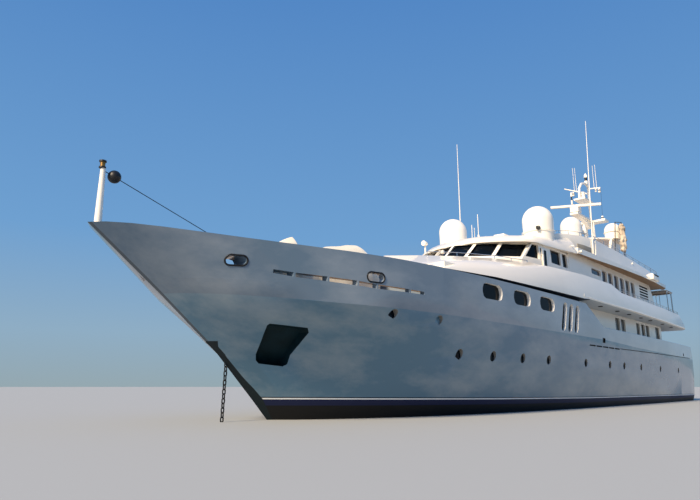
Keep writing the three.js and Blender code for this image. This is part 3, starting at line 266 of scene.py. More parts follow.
# The guard plate's half breadth up the stem, its top, and where the bow starts.
GUARD_PLATE = ((0.0, 0.07), (0.16, 0.1), (0.33, 0.135), (0.49, 0.125), (0.66, 0.1), (0.98, 0.085),
               (1.13, 0.105), (1.21, 0.17))
GUARD_TOP = 1.21
BOW_START = 9.0
# Half breadth of the painted shade along the stem.
STEM_HALF = 0.05
hull_coat_and_reflections, tree, shader = new_finish("hull_topcoat_with_painted_reflections")
place = put_node(tree, "TexCoord").outputs["Object"]
axes = put_node(tree, "SeparateXYZ", {"Vector": place}).outputs
line = drawn_curve(tree, axes["X"], WHITE_LINE)
over_line = put_node(tree, "Math", {0: axes["Z"], 1: line}, operation="SUBTRACT")
band = put_node(tree, "MapRange", {"Value": over_line, "From Min": -BAND_REACH, "From Max": BAND_REACH})
stripes = put_node(tree, "ValToRGB", {"Fac": band})
stripes.color_ramp.interpolation = "CONSTANT"
set_tones(stripes, STRIPES)
over_stripes = put_node(tree, "Math", {0: band, 1: STRIPES_TOP}, operation="GREATER_THAN")
# Below the knuckle painted reflections of soft pale clouds, a metre or two long, lie over a deeper
# blue, which is partly painted reflection of dark water.
stretched = put_node(tree, "Mapping", {"Vector": place, "Scale": (0.55, 1.0, 1.3)})
clouds = put_node(tree, "TexNoise", {"Vector": stretched, "Scale": 1.1, "Detail": 9.0, "Roughness": 0.6})
cloud_share = put_node(tree, "MapRange", {"Value": clouds, "From Min": 0.41, "From Max": 0.74})
lower = put_node(tree, "Mix", {
    "Factor": cloud_share, "A": linear(LOWER_BLUE), "B": linear(LOWER_CLOUD_REFLECTION)}, data_type="RGBA")
knuckle = drawn_curve(tree, axes["X"], KNUCKLE)
over_knuckle = put_node(tree, "Math", {0: axes["Z"], 1: knuckle}, operation="SUBTRACT")
upper_share = put_node(tree, "MapRange", {
    "Value": over_knuckle, "From Min": -KNUCKLE_EDGE, "From Max": KNUCKLE_EDGE})
# Above the knuckle a painted reflection of dark water darkens the grey towards the bow, so it turns
# paler towards the stern, and the painted cloud reflections are fainter.
water_reflection_fade = put_node(tree, "MapRange", {
    "Value": axes["X"], "From Min": 10.0, "From Max": -10.0, "To Max": 0.9})
faint_clouds = put_node(tree, "Math", {0: cloud_share, 1: 0.25}, operation="MULTIPLY")
pale_share = put_node(tree, "Math", {0: water_reflection_fade, 1: faint_clouds}, operation="ADD", use_clamp=True)
upper = put_node(tree, "Mix", {
    "Factor": pale_share, "A": linear(UPPER_WATER_REFLECTION), "B": linear(UPPER_GREY)}, data_type="RGBA")
sides = put_node(tree, "Mix", {"Factor": upper_share, "A": lower, "B": upper}, data_type="RGBA")
off_centre = put_node(tree, "Math", {0: axes["Y"]}, operation="ABSOLUTE")
forward = put_node(tree, "Math", {0: axes["X"], 1: BOW_START}, operation="GREATER_THAN")
# The sharp stem above the guard plate is painted darker: painted shade on its narrow lit front.
plate_half = drawn_curve(tree, axes["Z"], GUARD_PLATE)
masks = []
for half, height_test in ((plate_half, "LESS_THAN"), (STEM_HALF, "GREATER_THAN")):
    on_stem = put_node(tree, "Math", {0: off_centre, 1: half}, operation="LESS_THAN")
    in_height = put_node(tree, "Math", {0: axes["Z"], 1: GUARD_TOP}, operation=height_test)
    at_bow = put_node(tree, "Math", {0: forward, 1: in_height}, operation="MULTIPLY")
    masks.append(put_node(tree, "Math", {0: on_stem, 1: at_bow}, operation="MULTIPLY"))
plated, stem_shade_mask = masks
coat = stripes
for share, over in ((over_stripes, sides), (plated, linear(GUARD_BLACK)), (stem_shade_mask, linear(STEM_PAINTED_SHADE))):
    coat = put_node(tree, "Mix", {"Factor": share, "A": coat, "B": over}, data_type="RGBA")
# Antifouling and guard plate are matt, without the topcoat's gloss.
glossy = put_node(tree, "Math", {0: over_stripes, 1: plated}, operation="SUBTRACT", use_clamp=True)
coat_share = put_node(tree, "Math", {0: glossy, 1: 0.5}, operation="MULTIPLY")
roughness = put_node(tree, "MapRange", {"Value": glossy, "To Min": 0.55, "To Max": 0.16})
# Long soft waves in the filler under the paint, about a metre from crest to crest.
fairing = put_node(tree, "TexNoise", {"Vector": place, "Scale": 0.9, "Detail": 1.0})
ripple = put_node(tree, "Bump", {"Height": fairing, "Strength": 0.08, "Distance": 0.05})
set_sockets(tree, shader, {
    "Base Color": coat, "Roughness": roughness, "Specular IOR Level": 0.3, "Coat Weight": coat_share,
    "Coat Roughness": 0.05, "Normal": ripple})

hull = merged_copy("hull_shell", "hull", "topsides", "fore_bulwark", "aft_bulwark")
mount(hull, hull_coat_and_reflections)


# Round ports, mooring hatches and a long drain slot are bored into the skin. A bar or a block stands
# for each hole on both sides of the ship, and one cut takes them all.
def box_between(name, first, second, rounding=0.0, segments=2):
    """A block between two opposite corners, in metres, with its edges bevelled."""
    bpy.ops.object.select_all(action="DESELECT")
    bpy.ops.mesh.primitive_cube_add(size=1, location=(first + second) / 2)
    piece = bpy.context.object
    piece.name = name
    piece.scale = [max(abs(a - b), 0.001) for a, b in zip(first, second)]
    bpy.ops.object.transform_apply(location=True, rotation=False, scale=True)
    if rounding:
        change_mesh(bpy.ops.mesh.bevel, offset=rounding, segments=segments, affect="EDGES")
    return piece


def side_of(aft, up, shell=hull):
    """The port half breadth of the hull's or a shell's skin in metres, at a place given in ship metres."""
    hit, spot, _, _ = shell.ray_cast(ship(aft, 12, up), Vector((0, -1, 0)))
    return spot.y if hit else 0.0


# Ports: place aft, height and radius. Hatches and slots: fore end, aft end, low and high edges.
PORTS = [(aft, 2.22, 0.2) for aft in (12.4, 14.53, 16.8, 19.17, 23.46, 26.94, 29.37, 32.73, 37.38, 42.73)]
PORTS += [(8.58, 3.36, 0.17), (10.75, 3.32, 0.17)]
SLOTS = [(25.75, 26.15, 3.33, 3.58), (44.62, 44.92, 3.34, 3.54)]
SLOTS += [(23.9 + step * 0.94, 24.72 + step * 0.94, 3.08, 3.15) for step in range(5)]
SLOTS += [(28.6 + step * 1.55, 30.15 + step * 1.55, 3.12 + step * 0.011, 3.16 + step * 0.011)
          for step in range(12)]
PORT_DEPTH = 0.035
SLOT_DEPTH = 0.025
REACH = 0.3
cutters = []
for aft, up, radius in PORTS:
    for mirror in (1, -1):
        spot = ship(aft, 0, up)
        spot.y = mirror * (side_of(aft, up) - PORT_DEPTH + REACH / 2)
        bpy.ops.mesh.primitive_cylinder_add(vertices=24, radius=radius / 2, depth=REACH, location=spot,
                                            rotation=(math.pi / 2, 0, 0))
        cutters.append(bpy.context.object)
for fore, end, low, high in SLOTS:
    inner = side_of((fore + end) / 2, (low + high) / 2) - SLOT_DEPTH
    for mirror in (1, -1):
        first, second = ship(fore, 0, low), ship(end, 0, high)
        first.y, second.y = mirror * inner, mirror * (inner + REACH)
        cutters.append(box_between("slot_tool", first, second))
tool = joined(cutters)
take(hull)
apply_modifier(hull, "BOOLEAN", object=tool, solver="EXACT", use_self=True)
bpy.data.objects.remove(tool)
hull.data.materials.clear()
hull.data.materials.append(hull_coat_and_reflections)
for face in hull.data.polygons:
    face.material_index = 0


# Windows are dark tinted glass set back in the hull with white reveals, and so are the tall raked
# ones abreast of the side passage. Anchor pockets are steel, painted dark.
def weathered(name, dark, light, patch, rough, metallic=0.0, coat=0.0, bump=0.0, ior=1.5, shine=0.5):
    """A paint, glass or metal whose colour and gloss drift between two values over patches of a size."""
    finish, tree, shader = new_finish(name)
    place = put_node(tree, "TexCoord").outputs["Object"]
    drift = put_node(tree, "TexNoise", {"Vector": place, "Scale": 1 / patch, "Detail": 4.0})
    tones = put_node(tree, "ValToRGB", {"Fac": drift})
    set_tones(tones, ((0.3, dark), (0.7, light)))
    gloss = put_node(tree, "MapRange", {"Value": drift, "To Min": rough[0], "To Max": rough[1]})
    set_sockets(tree, shader, {
        "Base Color": tones, "Roughness": gloss, "Metallic": metallic, "IOR": ior,
        "Specular IOR Level": shine, "Coat Weight": coat})
    if bump:
        relief = {"Height": drift, "Strength": bump, "Distance": patch / 4}
        set_sockets(tree, shader, {"Normal": put_node(tree, "Bump", relief)})
    return finish


def recess_faces(piece, recesses):
    """The faces whose corners all fit one of some recesses, each a test of a corner in ship metres."""
    corners = [(25 - 2 * v.co.x, 2 * abs(v.co.y), 2 * v.co.z) for v in piece.data.vertices]
    return [f for f in piece.data.polygons
            if any(all(fits(*corners[v]) for v in f.vertices) for fits in recesses)]


def line_with(piece, faces, finish):
    """Gives some faces of a piece a further finish."""
    if finish.name not in piece.data.materials:
        piece.data.materials.append(finish)
    index = piece.data.materials.find(finish.name)
    for face in faces:
        face.material_index = index


tinted_glass = weathered("tinted_safety_glass", "#060a0f", "#0c131b", 0.8, (0.03, 0.06), ior=1.52, shine=0.05)
pocket_lining = weathered("anchor_pocket_paint", "#061a20", "#0c262f", 0.25, (0.45, 0.6), shine=0.1)
# Holes and louvres are lined black, which is painted shade inside them.
black_painted_shade = weathered("black_hole_painted_shade", "#050709", "#0a0d10", 0.2, (0.5, 0.7), shine=0.1)
reveal_paint = weathered("white_reveal_paint", "#f2efe8", "#faf7f0", 0.6, (0.3, 0.4))
port_frame = weathered("cast_port_frame", "#6f6d69", "#8d8a84", 0.1, (0.4, 0.55))
# Square windows: fore and aft ends. Tall windows, which are raked: fore end at mid height.
BIG_WINDOWS = ((13.34, 14.81), (15.75, 17.22), (18.17, 19.66))
BIG_HEIGHTS = (4.37, 4.98)
TALL_WINDOWS = (20.52, 21.3, 22.08)
TALL_FOOT, TALL_MIDDLE, TALL_HEAD = 3.57, 4.275, 4.98
TALL_WIDTH = 0.46
TALL_RAKE = 0.316
POCKET = ((5.02, 2.92), (6.14, 2.84), (6.28, 2.71), (6.28, 1.76), (6.17, 1.69), (5.48, 1.77), (5.37, 1.87),
          (5.16, 2.46), (4.99, 2.87))


def framed(low, high, fore=0, end=50):
    """A test of a corner: between two heights and two places aft, or within 10 mm of them."""
    return lambda aft, side, up: fore - 0.01 < aft < end + 0.01 and low - 0.01 < up < high + 0.01


def in_pocket(aft, side, up):
    """Whether a corner lies inside the pocket's outline or within 80 mm of it."""
    for (a, b), (c, d) in zip(POCKET, POCKET[1:] + POCKET[:1]):
        if ((aft - a) * (d - b) - (up - b) * (c - a)) / math.hypot(c - a, d - b) < -0.08:
            return False
    return True


windows = [framed(*BIG_HEIGHTS, *ends) for ends in BIG_WINDOWS]
windows += [lambda aft, side, up, fore=fore: (
                TALL_FOOT < up < TALL_HEAD
                and -0.01 < aft - (up - TALL_MIDDLE) * TALL_RAKE - fore < TALL_WIDTH + 0.01)
            for fore in TALL_WINDOWS]
ports = [lambda aft, side, up, x=x, z=z, size=size: abs(math.hypot(aft - x, up - z) - size) < 0.012
         for x, z, size in PORTS]
slots = [framed(low, high, fore, end) for fore, end, low, high in SLOTS]
# A pane's normal points across the ship by more than this, and a reveal's by less.
SIDEWAYS = 0.97
panes = [f for f in recess_faces(hull, windows + ports) if abs(f.normal.y) > SIDEWAYS]
line_with(hull, recess_faces(hull, windows), reveal_paint)
line_with(hull, recess_faces(hull, ports), port_frame)
line_with(hull, panes, tinted_glass)
# The panes of the windows stand half as deep as the CAD's recesses.
PANE_SHIFT = 0.045
window_corners = {v for f in recess_faces(hull, windows) if abs(f.normal.y) > SIDEWAYS for v in f.vertices}
for corner in window_corners:
    hull.data.vertices[corner].co.y += math.copysign(PANE_SHIFT, hull.data.vertices[corner].co.y)
# The hatches' and slots' recesses are black: painted shade in the holes.
line_with(hull, recess_faces(hull, slots), black_painted_shade)
line_with(hull, recess_faces(hull, [in_pocket]), pocket_lining)
smooth(hull)


# The decks are laid teak on steel: planks fore and aft with black caulked seams.
# A plank is 50 mm wide on the ship and so 25 mm here. Bare teak is matt, and bleached in streaks.
def refinish(finish, *names):
    """Gives CAD nodes that keep their shapes the finish of the real thing."""
    for name in names:
        nodes[name].data.materials.clear()
        nodes[name].data.materials.append(finish)


teak, tree, shader = new_finish("laid_teak")
place = put_node(tree, "TexCoord").outputs["Object"]
planks = put_node(tree, "TexBrick", {
    "Vector": place, "Color1": linear("#a9814f"), "Color2": linear("#96703f"), "Mortar": linear("#17130f"),
    "Scale": 1.0, "Mortar Size": 0.0015, "Mortar Smooth": 0.1, "Brick Width": 1.1, "Row Height": 0.025})
grain = put_node(tree, "Mapping", {"Vector": place, "Scale": (2.0, 60.0, 10.0)})
streaks = put_node(tree, "TexNoise", {"Vector": grain, "Scale": 3.0, "Detail": 5.0})
worn = put_node(tree, "Mix", {"Factor": streaks, "A": planks, "B": linear("#8d7a5f")}, data_type="RGBA")
set_sockets(tree, shader, {"Base Color": worn, "Roughness": 0.7})
DECK_LEVELS = (4.05, 3.05)
decks = [framed(level, level) for level in DECK_LEVELS]
line_with(hull, [f for f in recess_faces(hull, decks) if f.normal.z > 0.9], teak)
refinish(teak, "swim_platform")

# The superstructure is aluminium, faired and sprayed in glossy warm white polyurethane, with its edges
# rounded by the filler. Above the side passage the soffit is grey, as painted shade under the overhang,
# behind a shadow gap painted dark as painted shade. The sun deck's soffit is lined in tan, and both
# decks are laid in teak.
white_paint = weathered("white_polyurethane_paint", "#f2eadb", "#faf3e5", 1.6, (0.16, 0.24), coat=0.3)
# The grey of the soffit is painted shade under the overhang.
underside_painted_shade = weathered("grey_soffit_paint", "#ccd3d8", "#d8dee2", 1.2, (0.4, 0.5))
tan_soffit = weathered("tan_soffit_lining", "#8a6c4d", "#9a7b59", 1.2, (0.5, 0.6))
# The dark gap under the coaming's foot is painted shade in the recess.
gap_painted_shade = weathered("dark_recess_painted_shade", "#0d1a28", "#152536", 0.8, (0.5, 0.6))
# Shells, and the rounding of their edges in metres.
SHELLS = (("upper_deck", 0.01), ("main_saloon", 0.008), ("sky_lounge", 0.008), ("wheelhouse", 0.006),
          ("wheelhouse_roof", 0.01), ("sun_deck", 0.01), ("hardtop", 0.012))
# Lined faces: shell, lowest and highest corner, lowest and highest rise of the normal, and the finish.
LININGS = (("upper_deck", 5.2, 5.44, -1.01, 0.05, gap_painted_shade),
           ("upper_deck", 5.44, 5.46, -1.01, -0.9, underside_painted_shade),
           ("upper_deck", 5.64, 5.66, 0.9, 1.01, teak),
           ("sun_deck", 8.21, 8.39, -1.01, -0.7, tan_soffit),
           ("sun_deck", 8.55, 8.57, 0.9, 1.01, teak))
# Louvres in the lounge's walls: their feet, their height, and their fore and aft ends.
LOUVRES = (7.16, 7.36, 7.56, 7.76, 7.96)
LOUVRE_HEIGHT = 0.12
LOUVRE_ENDS = (37.79, 39.81)
for node, edge in SHELLS:
    shell = mount(merged_copy(node + "_shell", node, edge=edge), white_paint)
    for owner, low, high, least, most, finish in LININGS:
        if owner == node:
            within = recess_faces(shell, [framed(low, high)])
            line_with(shell, [f for f in within if least < f.normal.z < most], finish)
    if node == "sky_lounge":
        louvres = [framed(foot, foot + LOUVRE_HEIGHT, *LOUVRE_ENDS) for foot in LOUVRES]
        # The louvres' recesses are black: painted shade between the blades.
        line_with(shell, recess_faces(shell, louvres), black_painted_shade)

# The windows of the three houses are laminated glass, bonded behind the painted walls. The saloon's
# panes are grey and the lounge's blue, which is partly painted reflection of the sky; those of the
# wheelhouse and of the sliding doors are nearly black.
lounge_glass = weathered("blue_glass_painted_sky_reflection", "#15263c", "#213a58", 0.8, (0.03, 0.06), ior=1.52, shine=0.3)
saloon_glass = weathered("grey_tinted_glass", "#37424a", "#46525a", 0.8, (0.03, 0.06), ior=1.52, shine=0.3)
refinish(saloon_glass, "main_saloon_glass")
refinish(lounge_glass, "sky_lounge_glass")
refinish(tinted_glass, "wheelhouse_glass", "saloon_door_port", "saloon_door_starboard", "lounge_door_port",
         "lounge_door_starboard")

# Painted, stainless and bronze fittings keep the CAD's shapes. Polished steel mirrors the sky, cast
# bronze has a rough skin, and antifouling is dull. The garage door is painted with the hull.
stainless = weathered("polished_stainless_steel", "#b9bdc0", "#d0d3d5", 0.3, (0.14, 0.28), metallic=1.0)
bronze = weathered("cast_bronze", "#8f6a33", "#b58a48", 0.2, (0.3, 0.5), metallic=1.0, bump=0.1)
antifouling = weathered("antifouling_paint", "#0b0f14", "#151b22", 0.4, (0.55, 0.7))
refinish(hull_coat_and_reflections, "garage_door")
refinish(white_paint, "foredeck_hatch", "wheelhouse_door_port", "wheelhouse_door_starboard")
refinish(stainless, "windlass", "awning_frame")
refinish(bronze, "shaft_port", "shaft_starboard", "propeller_port", "propeller_starboard")
refinish(antifouling, "rudder_port", "rudder_starboard", "stabiliser_port", "stabiliser_starboard")

# The mast and the scanner are painted aluminium with softened edges.
# The scanner turns on its own body, above its housing on the mast's fore arm.
mount(merged_copy("mast_shell", "mast", edge=0.004), white_paint)
mount(merged_copy("scanner_shell", "radar_scanner", edge=0.012), white_paint, "radar_scanner")


# Rails are polished stainless tube, welded to stanchions that stand on the bulwarks, coamings and
# roofs. The mooring ports have a ring of galvanised steel, grey and grainy with zinc, and a polished
# strip caps the bulwark.
def tubes(name, runs, finish, body="ship"):
    """Round rods, wires and pipes as one piece. A run is its points and its radius in metres."""
    curve = bpy.data.curves.new(name, "CURVE")
    curve.dimensions = "3D"
    curve.bevel_depth = 1.0
    curve.bevel_resolution = 2
    curve.use_fill_caps = True
    for points, radius in runs:
        spline = curve.splines.new("POLY")
        spline.points.add(len(points) - 1)
        for spot, point in zip(spline.points, points):
            spot.co = (*point, 1)
            spot.radius = radius
    piece = bpy.data.objects.new(name, curve)
    bpy.context.collection.objects.link(piece)
    take(piece)
    bpy.ops.object.convert(target="MESH")
    piece = bpy.context.object
    smooth(piece, 40)
    return mount(piece, finish, body)


RAIL_RADIUS = 0.008


def railing(name, rows, bars, spacing):
    """Rails on both sides through rows of place aft, side, top and foot. Bars give each rail's drop."""
    runs = []
    for mirror in (1, -1):
        for drop in bars:
            runs.append(([ship(aft, mirror * side, top - drop) for aft, side, top, _ in rows], RAIL_RADIUS))
        for start, end in zip(rows, rows[1:]):
            count = max(1, round((end[0] - start[0]) / spacing))
            for step in range(count + 1):
                aft, side, top, foot = [a + (b - a) * step / count for a, b in zip(start, end)]
                runs.append(([ship(aft, mirror * side, foot), ship(aft, mirror * side, top)], RAIL_RADIUS))
    return tubes(name, runs, stainless)


railing("upper_aft_rail", (
    (30.1, 4.465, 6.76, 6.48), (35.0, 4.39, 6.74, 6.5), (40.0, 4.315, 6.74, 6.51), (44.9, 4.16, 6.73, 6.5),
    (45.36, 3.9, 6.72, 6.49), (45.56, 2.0, 6.72, 6.48), (45.58, 0.0, 6.72, 6.48)), (0.0, 0.12), 1.3)
railing("sun_deck_rail", (
    (28.6, 3.8, 9.78, 9.5), (31.3, 3.88, 9.72, 9.43), (35.3, 3.945, 9.55, 9.26), (39.3, 3.965, 9.45, 9.06),
    (41.0, 3.935, 9.4, 8.7)), (0.0, 0.14), 1.2)
railing("roof_rail", ((23.8, 2.97, 9.34, 9.1), (25.5, 3.38, 9.62, 9.4), (26.6, 3.6, 9.7, 9.48),
                      (28.5, 3.8, 9.76, 9.5)), (0.0,), 1.1)
railing("coaming_rail", (
    (14.35, 1.3, 6.82, 6.56), (15.38, 2.18, 6.82, 6.58), (16.95, 3.17, 6.8, 6.6), (18.75, 3.88, 6.76, 6.62)),
    (0.0,), 1.1)
galvanised = weathered("hot_dip_galvanised_steel", "#1f2022", "#35373a", 0.06, (0.45, 0.65), metallic=0.8,
                       bump=0.2)
# Fairleads: place aft and height of the middle, half length and half height.
FAIRLEADS = ((3.44, 4.585, 0.272, 0.13), (7.765, 4.48, 0.318, 0.142))
RING_GROWTH = 1.14
RING_CORNERS = 20
ring_turns = [math.tau * (i + 0.5) / RING_CORNERS for i in range(RING_CORNERS)]
rings = []
for aft, up, half_length, half_height in FAIRLEADS:
    straight = half_length - half_height
    reach = RING_GROWTH * half_height
    outline = [(aft + math.copysign(straight, math.cos(turn)) + reach * math.cos(turn),
                up + reach * math.sin(turn)) for turn in ring_turns]
    for mirror in (1, -1):
        ring = [ship(x, 0, z) for x, z in outline]
        for spot, (x, z) in zip(ring, outline):
            spot.y = mirror * side_of(x, z)
        rings.append((ring + ring[:1], 0.014))
tubes("fairlead_rings", rings, galvanised)


def bulwark_top(aft):
    """The height of the bulwark's top on the foredeck or the aft deck, in ship metres."""
    if aft < 11:
        return 5.2 + 0.18 * max(0, 1 - aft / 6.5) ** 1.6
    return 4.155 + 0.045 * (aft - 26.4) / 21.6


# Strips: fore end, aft end and steps, which are shorter towards the bow.
CAP_STRIPS = ((0.35, 10.8, 16), (26.4, 48.0, 14))
caps = []
for mirror in (1, -1):
    for start, end, steps in CAP_STRIPS:
        cap = []
        for step in range(steps + 1):
            aft = start + (end - start) * (step / steps) ** 1.3
            spot = ship(aft, 0, bulwark_top(aft))
            spot.y = mirror * max(side_of(aft, bulwark_top(aft) - 0.05) - 0.03, 0.0)
            cap.append(spot)
        caps.append((cap, 0.012))
tubes("bulwark_cap_strips", caps, stainless)


# White coaming wings of moulded glass fibre close the gap between the wheelhouse roof and the sun
# deck's coaming, one on each side, and each carries a ventilation grille of painted steel mesh.
def plate(name, rows, thickness, finish):
    """A curved plate through rows of place aft, side, low and high edge, with its edges rounded."""
    bpy.ops.object.select_all(action="DESELECT")
    bpy.ops.mesh.primitive_grid_add(x_subdivisions=len(rows) - 1, y_subdivisions=1, size=1)
    piece = bpy.context.object
    piece.name = name
    for vertex in piece.data.vertices:
        aft, side, low, high = rows[round((vertex.co.x + 0.5) * (len(rows) - 1))]
        vertex.co = ship(aft, side, high if vertex.co.y > 0 else low)
    apply_modifier(piece, "SOLIDIFY", thickness=thickness, offset=0.0)
    soften_edges(piece, thickness / 4)
    change_mesh(bpy.ops.mesh.normals_make_consistent, inside=False)
    smooth(piece, 40)
    return mount(piece, finish)


mesh_steel = weathered("painted_mesh_grille", "#6f6b62", "#a8a396", 0.012, (0.5, 0.7))
SIDES = ((1, "port"), (-1, "starboard"))
WING = ((23.7, 2.95, 8.8, 9.12), (24.5, 3.16, 8.7, 9.3), (25.5, 3.38, 8.6, 9.42), (26.6, 3.6, 8.5, 9.5),
        (27.8, 3.76, 8.5, 9.54), (29.0, 3.82, 8.5, 9.52))
GRILLE = ((26.2, 3.565, 8.62, 8.98), (26.9, 3.69, 8.6, 8.98), (27.7, 3.8, 8.56, 8.94))
for mirror, name in SIDES:
    wing, grille = [[(aft, mirror * side, low, high) for aft, side, low, high in rows]
                    for rows in (WING, GRILLE)]
    plate("coaming_wing_" + name, wing, 0.04, white_paint)
    plate("wing_grille_" + name, grille, 0.02, mesh_steel)


# A rubbing strip of white moulding follows the upper deck's foot from a rounded end abreast of the
# side passage to the stern. Small lamps in black moulded cases light the passage from the soffit.
def finished_box(name, first, second, rounding, segments, degrees, finish):
    """A block between two places with rounded edges, shaded smooth up to an angle, and mounted."""
    piece = box_between(name, first, second, rounding, segments)
    smooth(piece, degrees)
    return mount(piece, finish)


STRIP_RADIUS = 0.026
STRIP_HEIGHT = 5.52
STRIP_START, STRIP_END, STRIP_STEPS = 23.35, 46.1, 40
upper_shell = bpy.data.objects["upper_deck_shell"]
for mirror, name in SIDES:
    strip = []
    for step in range(STRIP_STEPS + 1):
        spot = ship(STRIP_START + (STRIP_END - STRIP_START) * step / STRIP_STEPS, 0, STRIP_HEIGHT)
        skin = side_of(25 - 2 * spot.x, STRIP_HEIGHT, upper_shell)
        spot.y = mirror * min(skin + STRIP_RADIUS / 2, cad_box[1].y - STRIP_RADIUS)
        strip.append(spot)
    tubes("rubbing_strip_" + name, [(strip, STRIP_RADIUS)], white_paint)
    finished_box("strip_end_" + name, ship(23.2, mirror * 4.63, 5.46), ship(23.44, mirror * 4.775, 5.68),
                 0.03, 3, 50, white_paint)
black_plastic = weathered("black_plastic", "#08090b", "#121418", 0.2, (0.4, 0.55))
# Lamps: place aft and side of the middle. Each is a square case that stands out of the soffit.
DOWNLIGHTS = ((27.2, 4.2), (30.1, 4.2), (32.3, 4.2), (34.8, 4.2), (36.9, 4.2), (40.1, 4.15), (42.9, 4.05))
LAMP_HALF = 0.11
for mirror, name in SIDES:
    lamps = [box_between("downlight", ship(aft - LAMP_HALF, mirror * (side - LAMP_HALF), 5.41),
                         ship(aft + LAMP_HALF, mirror * (side + LAMP_HALF), 5.452), 0.012)
             for aft, side in DOWNLIGHTS]
    downlights = joined(lamps)
    downlights.name = "downlights_" + name
    smooth(downlights, 40)
    mount(downlights, black_plastic)


# The satellite domes are gel-coated glass fibre, smooth and a little dull: a skirt that widens slowly
# to a round cap, on a bolted base ring. A camera in a black case stands beside the first.
def turned(name, middle, rings, sides=40):
    """A round piece built up ring by ring: a circle extruded and resized through (radius, height) pairs."""
    bpy.ops.object.select_all(action="DESELECT")
    bpy.ops.mesh.primitive_circle_add(vertices=sides, radius=rings[0][0], fill_type="NGON",
                                      location=(middle.x, middle.y, rings[0][1]))
    piece = bpy.context.object
    piece.name = name
    bpy.ops.object.transform_apply()
    bpy.ops.object.mode_set(mode="EDIT")
    bpy.ops.mesh.select_all(action="SELECT")
    for (radius, height), (next_radius, next_height) in zip(rings, rings[1:]):
        bpy.ops.mesh.extrude_region_move(TRANSFORM_OT_translate={"value": (0, 0, next_height - height)})
        size = next_radius / radius
        bpy.ops.transform.resize(value=(size, size, 1), center_override=(middle.x, middle.y, next_height))
    change_mesh(bpy.ops.mesh.normals_make_consistent, inside=False)
    smooth(piece)
    return piece


gel_coat = weathered("dome_gel_coat", "#f0ebdf", "#f8f3e8", 0.9, (0.3, 0.4))
CAP_STEPS = 14
COLLAR_STEPS = 32


def satellite_dome(node, aft, side, apex, radius):
    """A dome and its base ring in place of a CAD node, by place, apex height and radius in ship metres."""
    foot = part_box(node)[0].z
    wide = radius / 2
    waist = apex / 2 - wide
    rings = [(wide * 0.95, foot), (wide * 0.95, foot + 0.02), (wide * 0.93, foot + 0.025),
             (wide * 0.97, (foot + waist) / 2), (wide * 0.995, waist)]
    for step in range(1, CAP_STEPS):
        turn = math.pi / 2 * step / CAP_STEPS
        rings.append((wide * 0.995 * math.cos(turn), waist + wide * math.sin(turn) * 0.999))
    rings.append((0.01, apex / 2 - 0.0005))
    dome = mount(turned(node + "_shell", ship(aft, side, 0), rings), gel_coat)
    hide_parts(node)
    reach = radius + 0.04
    collar = [ship(aft + reach * math.cos(turn), side + reach * math.sin(turn), 2 * foot + 0.55)
              for turn in [math.tau * i / COLLAR_STEPS for i in range(COLLAR_STEPS + 1)]]
    tubes(node + "_collar", [(collar, 0.01)], white_paint)


satellite_dome("dome_fore_port", 23.15, 2.65, 10.62, 0.82)
finished_box("roof_camera", ship(22.2, 2.92, 9.12), ship(22.42, 3.1, 9.3), 0.015, 2, 40, black_plastic)
satellite_dome("dome_fore_starboard", 23.15, -2.65, 10.88, 0.82)
satellite_dome("dome_side_port", 27.0, 3.0, 10.8, 0.6)
satellite_dome("dome_aft", 38.2, 1.95, 12.95, 0.575)

# Navigation lights and a signal arch dress the mast: black lenses between white caps, hung from the
# booms and stood on the crosspiece and the arch, with one flag halyard to port.
MAST_COLUMN = 39.6
ARCH = ((37.56, 15.15), (37.6, 15.95), (38.1, 16.48), (38.93, 16.75), (39.5, 16.7), (39.78, 16.3),
        (39.64, 15.7))
tubes("signal_arch", [([ship(aft, 0, up) for aft, up in ARCH], 0.045)], white_paint)
tubes("flag_halyard", [([ship(MAST_COLUMN, 0.98, 16.3), ship(MAST_COLUMN, 0.9, 13.76)], 0.004)], galvanised)
# Lights: place aft, side, lowest and highest point, and radius in metres.
LIGHTS = ((MAST_COLUMN, -1.19, 16.12, 16.44, 0.05), (MAST_COLUMN, -1.36, 15.44, 16.5, 0.035),
          (MAST_COLUMN, 0.86, 15.98, 16.34, 0.05), (MAST_COLUMN, 0.6, 16.08, 16.36, 0.04),
          (MAST_COLUMN, 0.9, 13.74, 14.06, 0.05), (39.31, 0.0, 16.76, 17.68, 0.07))
for number, (aft, side, low, high, wide) in enumerate(LIGHTS, 1):
    low, high = low / 2, high / 2
    span = high - low
    light = turned("mast_light_%d" % number, ship(aft, side, 0), [
        (wide * 0.8, low), (wide, low + 0.08 * span), (wide, low + 0.3 * span),
        (wide * 0.7, low + 0.32 * span), (wide * 0.7, low + 0.6 * span), (wide, low + 0.62 * span),
        (wide * 0.9, low + 0.8 * span), (wide * 0.25, high)], 20)
    mount(light, white_paint)
    line_with(light, [f for f in light.data.polygons if low + 0.31 * span < f.center.z < low + 0.61 * span],
              black_plastic)

# On the jackstaff at the bow a lantern of weathered brass stands between black caps, and a black
# anchor ball hangs on the stay of thin steel wire that runs down to an eye on the foredeck.
brass = weathered("weathered_brass", "#8a6a3c", "#b08a52", 0.05, (0.35, 0.5), metallic=1.0)
STAFF_FOOT, STAFF_HEAD = 2.69, 3.5
staff = turned("jackstaff_pole", ship(0.285, 0, 0), [(0.075, STAFF_FOOT), (0.075, 2.7), (0.052, 2.715),
                                                   (0.034, STAFF_HEAD)], 20)
mount(staff, white_paint)
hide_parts("jackstaff")
lantern = turned("jackstaff_lantern", ship(0.262, 0, 0), [
    (0.03, 3.485), (0.048, 3.49), (0.048, 3.51), (0.034, 3.515), (0.036, 3.575), (0.05, 3.58), (0.05, 3.6),
    (0.02, 3.612)], 20)
mount(lantern, black_plastic)
line_with(lantern, [f for f in lantern.data.polygons if 3.52 < f.center.z < 3.57], brass)
STAY_START, STAY_END, BALL_AFT = 0.31, 9.3, 0.63
stay_top = ship(STAY_START, 0, 6.92)
